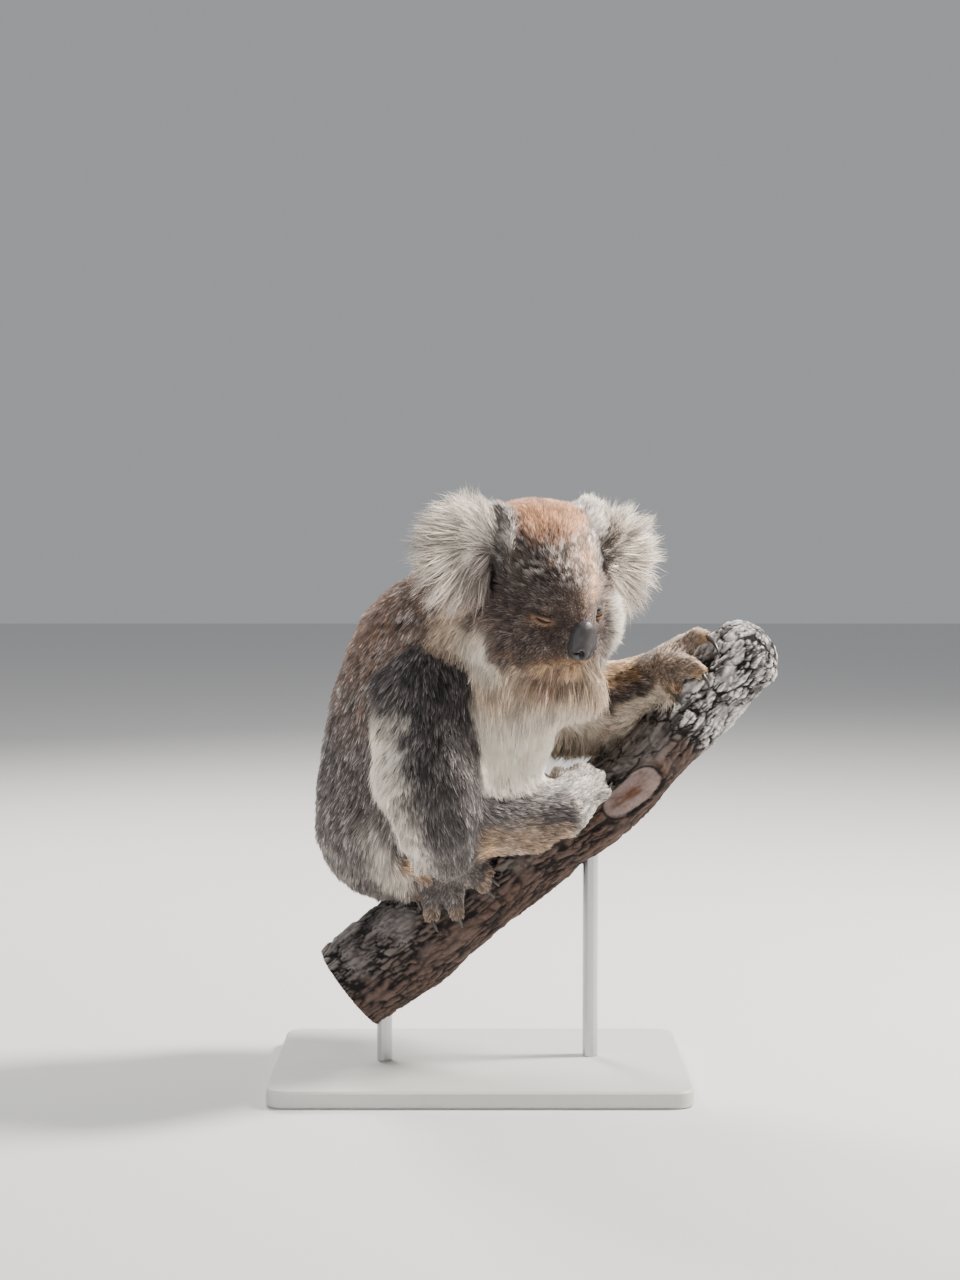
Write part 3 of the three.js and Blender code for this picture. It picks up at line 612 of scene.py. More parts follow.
# The facets of the solids are smoothed away, most where the body is broad.
broad = kind_share("trunk", "neck", "upper_arm", "thigh") + 0.75 * kind_share("head", "forearm", "lower_leg")
eased = outline
for strength in (0.6, -0.61) * 9:
    eased = relaxed(eased, skin_edges, 1, strength)
wide = relaxed(eased, skin_edges, 14, 0.6)
wide += normals_of(skin.data) * (0.4 * MM)
eased = eased + (wide - eased) * (np.clip(broad, 0, 1) ** 2)[:, None]
set_points(skin.data, eased)

head_place = in_head(eased)
depth = sum(COAT_DEPTH[kind_of(r)] * share_of[r] for r in REGIONS)
face_near = ramp(head_place[:, 0], 5, 62) * share_of["head"]
by_ear = ramp(np.abs(head_place[:, 1]), 44, 70) * ramp(head_place[:, 2], 20, 60) * share_of["head"]
depth = (depth + 3 * by_ear) * (1 - 0.72 * face_near)
depth = relaxed(depth[:, None], skin_edges, 10, 0.6)[:, 0]
under = eased - normals_of(skin.data) * (depth * MM)[:, None]
under = relaxed(under, skin_edges, 3, 0.5)
set_points(skin.data, under)
under = with_face(under, normals_of(skin.data))
under, lid_marks = with_lids(under)
set_points(skin.data, under)
skin_points, skin_normals = under, normals_of(skin.data)
lid_marks["rim"] = np.maximum(lid_marks["rim"], 0.9 * bump_at(mouth_depth(in_head(under)), 0, 1.3))

# How hollow the skin is at each point, in millimetres: above 0 in clefts.
around = relaxed(skin_points, skin_edges, 12, 0.7)
skin_hollow = np.sum((around - skin_points) * skin_normals, axis=1) / MM

# ------------------------------------------------------------------ the lie of the coat


def toward(points, place):
    return unit(points - place)


def lie_of(region, points):
    """The way that the hair of a region points."""
    kind, side = kind_of(region), "right" if region.endswith("right") else "left"
    down, back = np.array([0, 0, -1.0]), -TRUNK_AXES[0]
    if kind == "head":
        away = toward(points, on_head(64, 0, -16))
        low = ramp(-in_head(points)[:, 2], 10, 60)[:, None]
        return away + 0.5 * low * down
    if kind == "ear":
        root = pinna_place(EARS[side]) - EARS[side]["side"] * HEAD_AXES[1] * 30 * MM
        return toward(points, root)
    if kind in ("trunk", "neck"):
        outwards = 0.25 if kind == "trunk" else 0.5
        return np.broadcast_to(down + outwards * back, points.shape).copy()
    if kind == "hand":
        return toward(points, WRIST[side])
    if kind == "foot":
        return toward(points, ANKLE[side])
    start, end = {
        "upper_arm": (SHOULDER, ELBOW),
        "forearm": (ELBOW, WRIST),
        "thigh": (HIP, KNEE),
        "lower_leg": (KNEE, ANKLE),
    }[kind]
    along = unit(end[side] - start[side])
    if kind in ("upper_arm", "forearm"):
        along = along + 0.45 * down
    return np.broadcast_to(along, points.shape).copy()


lie = sum(lie_of(r, skin_points) * share_of[r][:, None] for r in REGIONS)
lie -= skin_normals * np.sum(lie * skin_normals, axis=1, keepdims=True)
lie = relaxed(unit(lie), skin_edges, 6, 0.6)

# ------------------------------------------------------------------ the markings

CLAWS = sorted(name for name in nodes if name.startswith("claw_"))
claw_tree = tree_of([v.co for name in CLAWS for v in nodes[name].data.vertices])


def from_claws(points, chosen):
    """Millimetres to the nearest claw, for the chosen points. Far away for the rest."""
    away = np.full(len(points), 99.0)
    for i in np.flatnonzero(chosen):
        away[i] = claw_tree.find(Vector(points[i]))[2] / MM
    return away


def coat_places(points, normals, share, hollow):
    """What the marks at points of the skin depend on: where each is, how it faces, and noise."""
    f, l, u = in_head(points).T
    at = SimpleNamespace(points=points, share=share, hollow=hollow, f=f, l=l, u=u, side=np.abs(l))
    at.level = points[:, 2] / MM
    at.ahead, at.rearwards, at.up = normals @ TRUNK_AXES[0], -normals[:, 0], normals[:, 2]
    at.blotch = layered(points, 22 * MM, 3)
    at.fine = layered(points, 7 * MM, 8)
    at.speck = noise(points, 3.4 * MM, 5)
    at.spot = noise(points, 4.4 * MM, 6) + 0.35 * at.speck
    at.on = {kind: sum(share[r] for r in REGIONS if kind_of(r) == kind) for kind in COAT_DEPTH}
    at.face, at.ear = at.on["head"], at.on["ear"]
    at.body = at.on["trunk"] + at.on["neck"]
    at.mottled = 1 + 0.3 * at.blotch
    at.front = np.maximum(
        ramp(at.ahead + 0.12 * at.fine, 0.22, 0.55),
        0.95 * ramp(at.level, 380, 470) * ramp(at.ahead + 0.15 * at.fine, 0.05, 0.35),
    )
    under_chin = np.exp(-(((f - 42) / 34) ** 2 + ((l + 24) / 30) ** 2)) * ramp(u + 5 * at.fine, -93, -84)
    at.chin = at.body * under_chin
    at.ear_top = bump_at(at.side, 78, 20) * ramp(u, 44, 62)
    # Painted shade in the notch where each ear meets the head, more of it by the right ear.
    at.ear_gap = (0.35 + 0.3 * (l < 0)) * bump_at(at.side, 71, 12) * bump_at(u, 25, 21)
    return at


def trunk_marks(at):
    """Brown shoulders over a grey back, a dappled rump, and a bib that is tan above and cream below."""
    body, level, front = at.body, at.level, at.front
    upper = ramp(level + 25 * at.blotch, 380, 500)
    warm = ramp(level + 14 * at.blotch, 425, 480)
    by_cheek = 0
    for cheek in ([-6, -74, -62], [-6, 72, -62]):
        by_cheek += np.exp(-((np.linalg.norm(in_head(at.points) - cheek, axis=1) / 30) ** 2))
    rump = ramp(-level, -370, -280) * ramp(-at.ahead, -0.1, 0.5)
    dapple = rump * ramp(noise(at.points, 8 * MM, 21), 0.2, 0.6)
    bib = front * (1 - 0.68 * warm) + 0.8 * by_cheek
    return {
        "brown": body * (0.15 + 0.75 * upper) * at.mottled + 0.8 * at.chin,
        "rust": body * 0.3 * ramp(level, 470, 540) * ramp(-at.ahead, 0, 0.6) + 0.12 * at.chin,
        "silver": body * 0.35 * ramp(-level, -360, -260) * (0.7 + at.blotch),
        "tan": body * 0.75 * front * warm * (1 - at.chin),
        "cream": body * (bib * (1 - 0.9 * at.chin) + 0.4 * dapple),
        "dark": body * 0.45 * ramp(noise(at.points, 9 * MM, 33), 0.25, 0.6) * (1 - front),
    }


def lid_marks_of(at):
    """Pale lids under a fold with painted shade in it, with a pale brow over it."""
    tan, dark = 0, 0
    for eye_side in EYE:
        _, away, across, edge = lid_places(at.points, eye_side)
        near, above = 1 - ramp(away, 13, 19), across > 0
        tan += near * (0.24 * (1 - ramp(edge, 2.5, 4.5)) + 0.15 * bump_at(edge, 8.0, 1.8) * above)
        # Painted shade in the fold over the lid.
        dark += near * 0.5 * bump_at(edge, 5.2, 1.1) * above
    return tan, dark


def head_marks(at):
    """A rust crown, a grizzled brow, a tan jaw, a bridge partly tan and partly painted sunlight, a cream
    ruff, a dark mouth, and painted shade over and round the eyes and by the ears.
    """
    f, l, u, side, fine = at.f, at.l, at.u, at.side, at.fine
    crown = ramp(u + 7 * at.blotch, 52, 78) * (1 - ramp(side + 6 * fine, 34, 58))
    # The bridge lies on the left side only: partly tan fur, partly painted sunlight on that side.
    bridge_tint_and_light = bump_at(l, 27, 23) * ramp(u, -8, 14) * (1 - ramp(u, 50, 72)) * ramp(f, 0, 30)
    grizzled = ramp(u, 10, 36) * (1 - 0.85 * crown)
    mouth = np.exp(-(((f - 50) / 34) ** 2 + ((side - 14) / 26) ** 2 + ((u + 68) / 12) ** 2))
    near_eye = np.exp(-(((side - 39) / 13) ** 2 + ((u + 14) / 7.0) ** 2)) * ramp(f, 20, 40)
    jaw = ramp(-u + 6 * fine, 48, 66) * ramp(f, 10, 34) * bump_at(l, -6, 30)
    ruff = ramp(-f + 6 * fine + 10 * (l > 0), 2, 22) * ramp(-u, 6, 30)
    ruff = np.maximum(ruff, ramp(l + 5 * fine, 52, 64) * ramp(-u, -8, 12)) * (1 - 0.3 * (side < 60))
    far_chin = ramp(l + 3 * fine, 10, 24) * ramp(-u, 60, 68)
    temple = ramp(side, 54, 68) * ramp(u, 24, 44) * ramp(fine, -0.5, 0.2)
    by_ears = ramp(side, 44, 58)
    cheek = (1 - ramp(np.abs(side - 38), 18, 36)) * ramp(-u, -30, 10) * (1 - mouth) * (1 - near_eye)
    lid_tan, lid_fold_shade = lid_marks_of(at)

    brown = 0.7 * at.mottled + 0.5 * ramp(-u, 40, 60)
    rust = np.clip(0.95 * crown + 0.75 * bridge_tint_and_light * ramp(fine, -0.6, 0.2) + 0.12 * fine, 0, 1) + 0.45 * jaw
    silver = 0.65 * ramp(at.spot, 0.05, 0.5) * grizzled * (1 - 0.9 * bridge_tint_and_light) + 0.85 * at.ear_top
    tan = 0.85 * mouth + 0.6 * jaw + 0.25 * near_eye + 0.55 * bridge_tint_and_light * ramp(at.speck, -0.6, 0.2)
    tan = np.clip(tan, 0, 1) + lid_tan
    cream = ruff * (1 - 0.9 * at.chin) + 0.8 * far_chin + 0.5 * temple
    cream += 0.25 * bump_at(side, 72, 9) * ramp(u, 48, 62)
    dark = 0.9 * ramp(-at.spot, 0.0, 0.4) * grizzled * (1 - 0.7 * by_ears) * (1 - 0.5 * bridge_tint_and_light)
    # Painted shadow in the hollow round the left eye, between the bridge and the cheek.
    far_eye_shadow = bump_at(l, 42, 11) * bump_at(u, -4, 12) * ramp(f, 15, 30)
    dark += 0.35 * cheek + 0.6 * far_eye_shadow + at.ear_gap + lid_fold_shade
    dark += 0.8 * bump_at(mouth_depth(in_head(at.points)), 0, 2.2)
    found = dict(brown=brown, rust=rust, silver=silver, tan=tan, cream=cream, dark=dark)
    return {name: at.face * amount for name, amount in found.items()}


def ear_marks(at):
    """Grey by the head, cream at the edge, with painted shade where the right ear meets the head. The right
    ear's foot is brown, partly fur colour and partly painted shade.
    """
    inner = 1 - ramp(at.side + 10 * at.fine, 74, 98)
    # The right ear's foot: partly browner fur, partly painted shade.
    foot = at.share["ear_right"] * ramp(-at.u + 10 * at.fine, -62, -28)
    edge = (0.45 + 0.45 * ramp(at.fine, -0.4, 0.3)) * (1 - 0.75 * inner) * (1 - 0.6 * foot)
    cream = at.share["ear_left"] * (0.35 + 0.6 * edge) + at.share["ear_right"] * 0.95 * edge
    return {
        "brown": at.ear * (0.35 * at.mottled + 0.45 * inner) + 0.4 * foot,
        "silver": at.ear * (0.3 + 0.85 * at.ear_top),
        "cream": cream * (1 - 0.9 * at.chin) + at.ear * 0.4 * inner * ramp(at.u, 48, 62),
        "dark": 0.6 * at.share["ear_right"] * at.ear_gap,
    }


def arm_marks(at):
    """Dark grey arms, the right one cream behind, the left one cream beneath and tan over the forearm's top,
    partly fur colour and partly painted light from above.
    """
    share, hand, fine = at.share, at.on["hand"], at.fine
    to_wrist = np.linalg.norm(at.points - WRIST["right"], axis=1) / MM
    wrist = share["forearm_right"] * (1 - ramp(to_wrist + 8 * fine, 20, 70))
    fingertip = 1 - ramp(from_claws(at.points, hand > 0.2) + 3 * fine, 6, 15)
    left_arm = share["upper_arm_left"] + share["forearm_left"]
    beneath = ramp(-at.up + 0.15 * fine, 0.0, 0.35)
    # The left forearm's up-facing top is tan and less dark: partly fur colour, partly painted light from
    # above.
    top_tan_and_light = share["forearm_left"] * ramp(at.up + 0.2 * fine, 0.1, 0.6)
    band = ramp(layered(at.points, 12 * MM, 14), 0.0, 0.4)
    rear = ramp(at.rearwards + 0.35 * fine + 0.22 * at.speck, 0.28, 0.92)
    rear = rear * (1 - ramp(at.level + 20 * fine, 430, 470))
    cleft = ramp(layered(at.points * [1, 1, 2.4], 17 * MM, 12), 0.02, 0.4) * ramp(at.level, 410, 450)
    dark = share["hand_right"] * (0.22 + 0.25 * ramp(-at.spot, 0.0, 0.5))
    right_dark = share["upper_arm_right"] * (0.42 + 0.5 * cleft) + 0.35 * (share["forearm_right"] - wrist)
    left_dark = share["upper_arm_left"] * 0.5 + share["forearm_left"] * 0.6 * band * (1 - top_tan_and_light)
    dark += right_dark * (1 - rear) + left_dark * (1 - beneath)
    return {
        "brown": (0.10 * at.on["upper_arm"] + 0.25 * hand + 0.4 * share["forearm_left"]) * at.mottled,
        "silver": 0.25 * hand + 0.25 * wrist,
        "tan": 0.75 * top_tan_and_light + 0.3 * share["hand_left"] + 0.35 * hand * fingertip + 0.8 * left_arm * beneath,
        "cream": 0.75 * left_arm * beneath + (share["upper_arm_right"] + 0.9 * share["forearm_right"]) * rear,
        "dark": dark,
    }


def leg_marks(at):
    """Silver grey legs, tan beneath, with pale feet."""
    thigh, lower_leg, foot = (at.on[part] for part in LEG_PARTS)
    low = ramp(-at.up, 0.1, 0.7)
    flecks = ramp(-at.speck, 0.0, 0.5) * (1 - low)
    return {
        "silver": 0.15 * thigh + 0.25 * lower_leg + 0.5 * foot,
        "tan": (0.8 * thigh + 0.5 * lower_leg) * low,
        "cream": foot * (0.32 + 0.5 * at.fine + 0.25 * at.speck),
        "dark": 0.5 * foot * ramp(-at.spot, 0.1, 0.5) + 0.5 * (lower_leg + thigh) * flecks,
    }


def cleft_shade_marks(at):
    """Painted shade in the clefts between the toes and in the folds of the coat, darker where the skin is
    more hollow, but not on the bib or on top of the head.
    """
    paws = at.on["hand"] + at.on["foot"]
    spared = (1 - at.front) * (1 - (at.face + at.ear) * ramp(at.u, 30, 50))
    folds = (1 - paws) * spared * ramp(at.hollow, 1.2, 3.5)
    return {"dark": 0.9 * paws * ramp(at.hollow, 0.5, 2.0) + 0.5 * folds}


def markings(points, normals, share, hollow):
    """The coat's marks at points of the skin, each from 0 to 1: the same for skin and coat."""
    at = coat_places(points, normals, share, hollow)
    total = {name: np.zeros(len(points)) for name in MARKS}
    for marks_of in (trunk_marks, head_marks, ear_marks, arm_marks, leg_marks, cleft_shade_marks):
        for name, amount in marks_of(at).items():
            total[name] += amount
    return {name: np.clip(total[name], 0, 1) for name in MARKS}


skin_marks = markings(skin_points, skin_normals, share_of, skin_hollow)
for name, values in {**skin_marks, **lid_marks}.items():
    add_mark(skin.data, name, values)
skin.data.materials.clear()
skin.data.materials.append(skin_finish())


def unwrap(thing):
    """A UV map named OFBake from the piece's own shape."""
    thing.data.uv_layers.new(name="OFBake")
    bpy.context.view_layer.objects.active = thing
    thing.select_set(True)
    bpy.ops.object.mode_set(mode="EDIT")
    bpy.ops.mesh.select_all(action="SELECT")
    bpy.ops.uv.smart_project(angle_limit=math.radians(66), island_margin=0.002)
    bpy.ops.object.mode_set(mode="OBJECT")
    thing.select_set(False)


unwrap(skin)
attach(skin, "root")
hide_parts(*REGIONS)

# ------------------------------------------------------------------ the branch's line, to keep hair off it


def branch_stations(count):
    """Points along the branch's middle, a smooth curve through its stations, and its radius at each."""
    ends = np.vstack([2 * BRANCH[0] - BRANCH[1], BRANCH, 2 * BRANCH[-1] - BRANCH[-2]])
    found = []
    for share in np.linspace(0, len(BRANCH) - 1 - 1e-9, count):
        i, t = int(share), share % 1
        p0, p1, p2, p3 = (ends[i + k][:3] for k in range(4))
        k0, k1, k2 = (np.linalg.norm(b - a) ** 0.5 for a, b in ((p0, p1), (p1, p2), (p2, p3)))
        m1 = (p1 - p0) / k0 - (p2 - p0) / (k0 + k1) + (p2 - p1) / k1
        m2 = (p2 - p1) / k1 - (p3 - p1) / (k1 + k2) + (p3 - p2) / k2
        a, b = k1 * m1, k1 * m2
        at = (2 * t**3 - 3 * t**2 + 1) * p1 + (t**3 - 2 * t**2 + t) * a
        at += (3 * t**2 - 2 * t**3) * p2 + (t**3 - t**2) * b
        found.append([*at, BRANCH[i][3] * (1 - t) + BRANCH[min(i + 1, len(BRANCH) - 1)][3] * t])
    return np.array(found) * MM


LINE = branch_stations(400)
line_tree = tree_of(LINE[:, :3])


def clear_of_branch(points, margin):
    """Points inside the bark moved out to a margin over it."""
    near = np.array([line_tree.find(Vector(p))[1] for p in points])
    middle, radius = LINE[near, :3], LINE[near, 3]
    out = points - middle
    away = np.linalg.norm(out, axis=1)
    wanted = radius + margin * MM
    inside = away < wanted
    moved = middle + unit(out) * wanted[:, None]
    return np.where(inside[:, None], moved, points), away - radius


# ------------------------------------------------------------------ the coat

# For each kind of region: tufts for each square millimetre, length, width, rise from the skin in degrees,
# and the size of the locks that the tufts gather in.
COAT = {
    "trunk": (0.41, 17.0, 1.88, 30, 8.0),
    "neck": (0.44, 18.0, 1.80, 34, 8.0),
    "head": (1.00, 11.0, 1.22, 32, 4.5),
    "upper_arm": (0.44, 15.0, 1.70, 32, 7.0),
    "forearm": (0.50, 13.0, 1.58, 28, 6.0),
    "hand": (0.72, 6.5, 1.26, 22, 4.0),
    "thigh": (0.43, 13.5, 1.72, 30, 6.5),
    "lower_leg": (0.52, 12.5, 1.53, 30, 5.5),
    "foot": (0.72, 7.5, 1.26, 26, 4.0),
    "ear": (1.05, 47.0, 1.12, 24, 8.5),
}


def coat_table(share):
    """The columns of COAT at points, blended between regions."""
    rows = np.zeros((len(share["trunk"]), 5))
    for region in REGIONS:
        rows += share[region][:, None] * np.array(COAT[kind_of(region)])
    return rows


skin.data.calc_loop_triangles()
triangles = read(skin.data.loop_triangles, "vertices", 3, np.int64)
loops = read(skin.data.loop_triangles, "loops", 3, np.int64)
uv_at = read(skin.data.uv_layers["OFBake"].data, "uv", 2)
skin_chest = ramp(skin_normals @ TRUNK_AXES[0], 0.15, 0.55) * ramp(skin_points[:, 2] / MM, 330, 400)
skin_chest = skin_chest * kind_share("trunk", "neck")
NOSE_PAD = {"wide": 14.5, "high": 21.0, "up": -36.0}  # half its sizes, and its height on the head


def roots():
    """Scattered roots of the coat: weights of the three corners of a triangle for each."""
    a, b, c = (skin_points[triangles[:, i]] for i in range(3))
    area = np.linalg.norm(np.cross(b - a, c - a), axis=1) / 2 / MM**2
    dense = coat_table(share_of)[:, 0][triangles].mean(axis=1)
    bare = np.maximum(lid_marks["lid"], lid_marks["rim"])[triangles].max(axis=1) > 0.35
    head = in_head((a + b + c) / 3)
    under_nose = np.hypot(head[:, 1] / NOSE_PAD["wide"], (head[:, 2] - NOSE_PAD["up"]) / NOSE_PAD["high"])
    bare |= (under_nose < 1) & (head[:, 0] > 50)
    bare |= mouth_depth(head) < 0.9
    face = ramp(head[:, 0], 15, 55) * share_of["head"][triangles].mean(axis=1)
    dense = dense * (1 + 0.5 * face + skin_chest[triangles].mean(axis=1)) * ~bare
    total = np.cumsum(area * dense)
    count = int(total[-1])
    picks = (np.arange(count) + rng.random(count)) * total[-1] / count
    chosen = np.searchsorted(total, picks)
    r1, r2 = np.sqrt(rng.random(count)), rng.random(count)
    weights = np.stack([1 - r1, r1 * (1 - r2), r1 * r2], axis=1)
    return np.minimum(chosen, len(triangles) - 1), weights


root_triangle, root_weights = roots()


def at_roots(values):
    """A value held at the skin's vertices, read at the roots."""
    picked = values[triangles[root_triangle]]
    if picked.ndim == 2:
        return np.sum(picked * root_weights, axis=1)
    return np.sum(picked * root_weights[:, :, None], axis=1)


root = at_roots(skin_points)
root_normal = unit(at_roots(skin_normals))
root_lie = at_roots(lie)
root_share = {name: at_roots(values) for name, values in share_of.items()}
root_uv = np.sum(uv_at[loops[root_triangle]] * root_weights[:, :, None], axis=1)
root_marks = markings(root, root_normal, root_share, at_roots(skin_hollow))
main_region = np.argmax(np.stack([root_share[r] for r in REGIONS], axis=1), axis=1)
count = len(root)
_, length, width, rise, lock = coat_table(root_share).T

root_head = in_head(root)
face = root_share["head"] * ramp(root_head[:, 0], 0, 58)
muzzle = root_share["head"] * ramp(root_head[:, 0], 38, 62)
length = length * (1 - 0.50 * face) * (1 - 0.35 * muzzle)
width = width * (1 - 0.25 * face)
rise = rise * (1 - 0.20 * face)
lock = lock * (1 - 0.45 * face)


def hair_zones():
    """Where the hair differs from the rest of its region, each from 0 to 1."""
    right_arm = root_share["upper_arm_right"] + root_share["forearm_right"]
    left_arm = root_share["upper_arm_left"] + root_share["forearm_left"]
    head = root_share["head"]
    f, l, u = root_head.T
    x, _, z = root_normal.T
    level = root[:, 2] / MM
    far_cheek = head * ramp(l, 46, 60) * ramp(-u, -32, -8)
    return {
        "chest": body * ramp(root_normal @ TRUNK_AXES[0], 0.2, 0.7) * ramp(level, 380, 440),
        "bib": at_roots(skin_chest[:, None])[:, 0],
        "ruff": head * ramp(-f, -24, 10) * ramp(-u, -5, 25),
        "fringe": right_arm * ramp(-x, 0.55, 0.9) + left_arm * ramp(-z, 0.35, 0.8),
        "crown": head * ramp(u, 35, 75),
        "ear_base": head * ramp(np.abs(l), 48, 72) * ramp(u, 5, 40),
        "far_cheek": far_cheek,
        "far_ruff": far_cheek + body * ramp(x, 0.45, 0.9) * ramp(level, 440, 465),
        "beard": head * ramp(-u, 60, 72) * ramp(f, 0, 25),
    }


# For each zone: what it adds to a tuft's length, width and rise.
LONGER = {
    "chest": (9, 0, 0),
    "bib": (0, -0.65, 0),
    "ruff": (18, -0.3, 20),
    "fringe": (18, -0.3, 13),
    "crown": (5, 0, 18),
    "ear_base": (15, -0.3, 12),
    "far_ruff": (17, 0, 18),
    "beard": (9, 0, 0),
}
body = root_share["trunk"] + root_share["neck"]
zones = hair_zones()
added = sum(zones[zone][:, None] * np.array(extra) for zone, extra in LONGER.items())
length, width, rise = length + added[:, 0], width + added[:, 1], rise + added[:, 2]
by_eye = sum(np.exp(-((np.linalg.norm(root_head - EYE[s], axis=1) / 11) ** 4)) for s in EYE)
length *= 1 - 0.6 * by_eye
width *= 1 - 0.25 * by_eye

# An ear's hair is longest at its outer edge and at its foot, and the lowest hangs.
on_ear = root_share["ear_right"] + root_share["ear_left"]
ear_out, ear_low = np.zeros(count), np.zeros(count)
for ear_side, ear in EARS.items():
    local = unit(root - pinna_place(ear))
    ear_out += root_share["ear_" + ear_side] * ramp(local @ HEAD_AXES[1] * ear["side"], -0.2, 0.9)
    ear_low += root_share["ear_" + ear_side] * ramp(-local @ HEAD_AXES[2], 0.0, 0.9)
ear_up = on_ear * ramp(root_head[:, 2], 50, 90)
length += 8 * ear_out + 3 * ear_low + 9 * ear_up
length *= 1 + on_ear * (0.22 * noise(root, 7 * MM, 62) + 0.16 * rng.normal(size=count))

# Hair swirls a little, and its tips gather in locks.
swirl = np.stack([layered(root, 34 * MM, 40 + k, 2) for k in range(3)], axis=1)
stray = np.stack([noise(root, 5 * MM, 50 + k) for k in range(3)], axis=1)
loose = 1 - 0.3 * np.clip(root_marks["cream"], 0, 1) * (1 - on_ear)
heading = unit(root_lie) + loose[:, None] * (0.42 * swirl + 0.30 * stray) + 0.13 * rng.normal(size=(count, 3))
for amount, way in (
    (zones["fringe"], np.array([-1.1, 0, -0.4])),
    (ear_low, np.array([0, 0, -0.45])),
    (zones["ear_base"], 0.7 * HEAD_AXES[2]),
    (zones["far_cheek"], 0.5 * HEAD_AXES[1]),
    (zones["beard"], np.array([0, 0, -0.9])),
):
    heading += amount[:, None] * way
heading = unit(heading - root_normal * np.sum(heading * root_normal, axis=1, keepdims=True))
LONGEST = 82.0  # millimetres
length = length * np.clip(1 + 0.22 * rng.normal(size=count) + 0.18 * noise(root, 12 * MM, 60), 0.4, 1.8)
length = np.minimum(length, LONGEST)
rise = np.radians(np.clip(rise * (1 + 0.25 * rng.normal(size=count)) + 8 * noise(root, 9 * MM, 61), 6, 80))


def gathered(places, tips, sizes, pull):
    """Tips moved towards the mean tip of the lock that each tuft belongs to."""
    moved = tips.copy()
    for size in np.unique(sizes):
        chosen = np.flatnonzero(sizes == size)
        best, _, _ = nearest_seats(places[chosen] / (size * MM) + 11.0, 70)
        _, lock_number = np.unique(np.round(best, 5), axis=0, return_inverse=True)
        lock_number = lock_number.ravel()
        filled = np.maximum(np.bincount(lock_number), 1)
        middle = np.stack([np.bincount(lock_number, tips[chosen, k]) / filled for k in range(3)], axis=1)
        share = pull[chosen][:, None]
        moved[chosen] = tips[chosen] + share * (middle[lock_number] - tips[chosen])
    return moved


CURL = 0.42  # how much of its rise a tuft loses again by its tip
ARCH = 0.62 * CURL  # how far a tuft arches over the straight line to its tip
ROOTED = 0.8 * MM  # how deep a tuft starts in the skin
height = np.sin(rise) * (1 - CURL)
tip = root + heading * (length * np.cos(rise) * MM)[:, None] + root_normal * (length * height * MM)[:, None]
pull = 0.40 + 0.05 * on_ear + 0.25 * rng.random(count)
tip = gathered(root, tip, np.round(lock / 1.5) * 1.5, pull)
droop = (0.08 + 0.12 * ear_low) * length * (length > 14) * MM
tip = tip - np.array([0, 0, 1.0]) * droop[:, None]
tip, _ = clear_of_branch(tip, 1.2)
_, root_over = clear_of_branch(root, 0.0)
kept = root_over > 1.5 * MM

# Each tuft is a little lighter or darker, and clumps of tufts have pale tips. The cream hair is even.
on_foot = root_share["foot_right"] + root_share["foot_left"]
pale = np.clip(root_marks["cream"], 0, 1) * (1 - 0.6 * on_ear - 0.8 * on_foot)
clump = noise(root, 4.2 * MM, 81) + 0.55 * noise(root, 9 * MM, 82) + 0.7 * rng.normal(size=count)
lights = noise(root, 3.6 * MM, 80) + 0.7 * noise(root, 11 * MM, 83)
shade = np.exp((1 - 0.6 * pale) * (1 + 0.1 * on_ear) * (0.36 * rng.normal(size=count) + 0.62 * lights))
# Painted light: the arms' fringes and the ears are lighter, as if lit from behind, and the bib is lighter
# too.
shade *= 1 + 0.3 * zones["fringe"] + 0.12 * on_ear + 0.15 * zones["bib"]
frost_share = 0.06 + 0.94 * ramp(clump, 0.25, 1.1) * (0.75 + 0.25 * body) * (1 - 0.7 * zones["crown"])
frost_share *= 1 - 0.9 * np.clip(root_marks["rust"] + root_marks["tan"], 0, 1)
frost = np.clip(frost_share, 0, 1) * (1 - 0.6 * root_marks["dark"]) * (1 - pale) * (1 - 0.5 * on_ear)


def tuft_axes(chosen):
    """Where the chosen tufts start, their run to the tip, its length, and the way across."""
    start = root[chosen] - root_normal[chosen] * ROOTED
    run = tip[chosen] - start
    return start, run, np.linalg.norm(run, axis=1), unit(np.cross(root_normal[chosen], run))


def spikes(chosen):
    """The fewest facets that make a bent tuft: two corners at its root, one on its ridge, and its tip."""
    start, run, reach, side = tuft_axes(chosen)
    half = side * (width[chosen] * MM * np.exp(0.15 * rng.normal(size=len(chosen))) / 2)[:, None]
    lifted = np.minimum(ARCH * np.sin(rise[chosen]) * reach, 1.0 * MM)[:, None]
    ridge = start + run * 0.45 + root_normal[chosen] * (lifted + 0.3 * width[chosen][:, None] * MM)
    points = np.stack([start - half, start + half, ridge, start + run], axis=1)
    pattern = np.array([[0, 2, 1], [0, 3, 2], [1, 2, 3], [0, 1, 3]])
    leaning = np.stack([-side, side, 0 * side, 0.6 * unit(run)], axis=1)
    return points, pattern, leaning, np.array([0.0, 0.0, 0.45, 1.0]), np.array([0.0, 1.0, 0.5, 0.5])


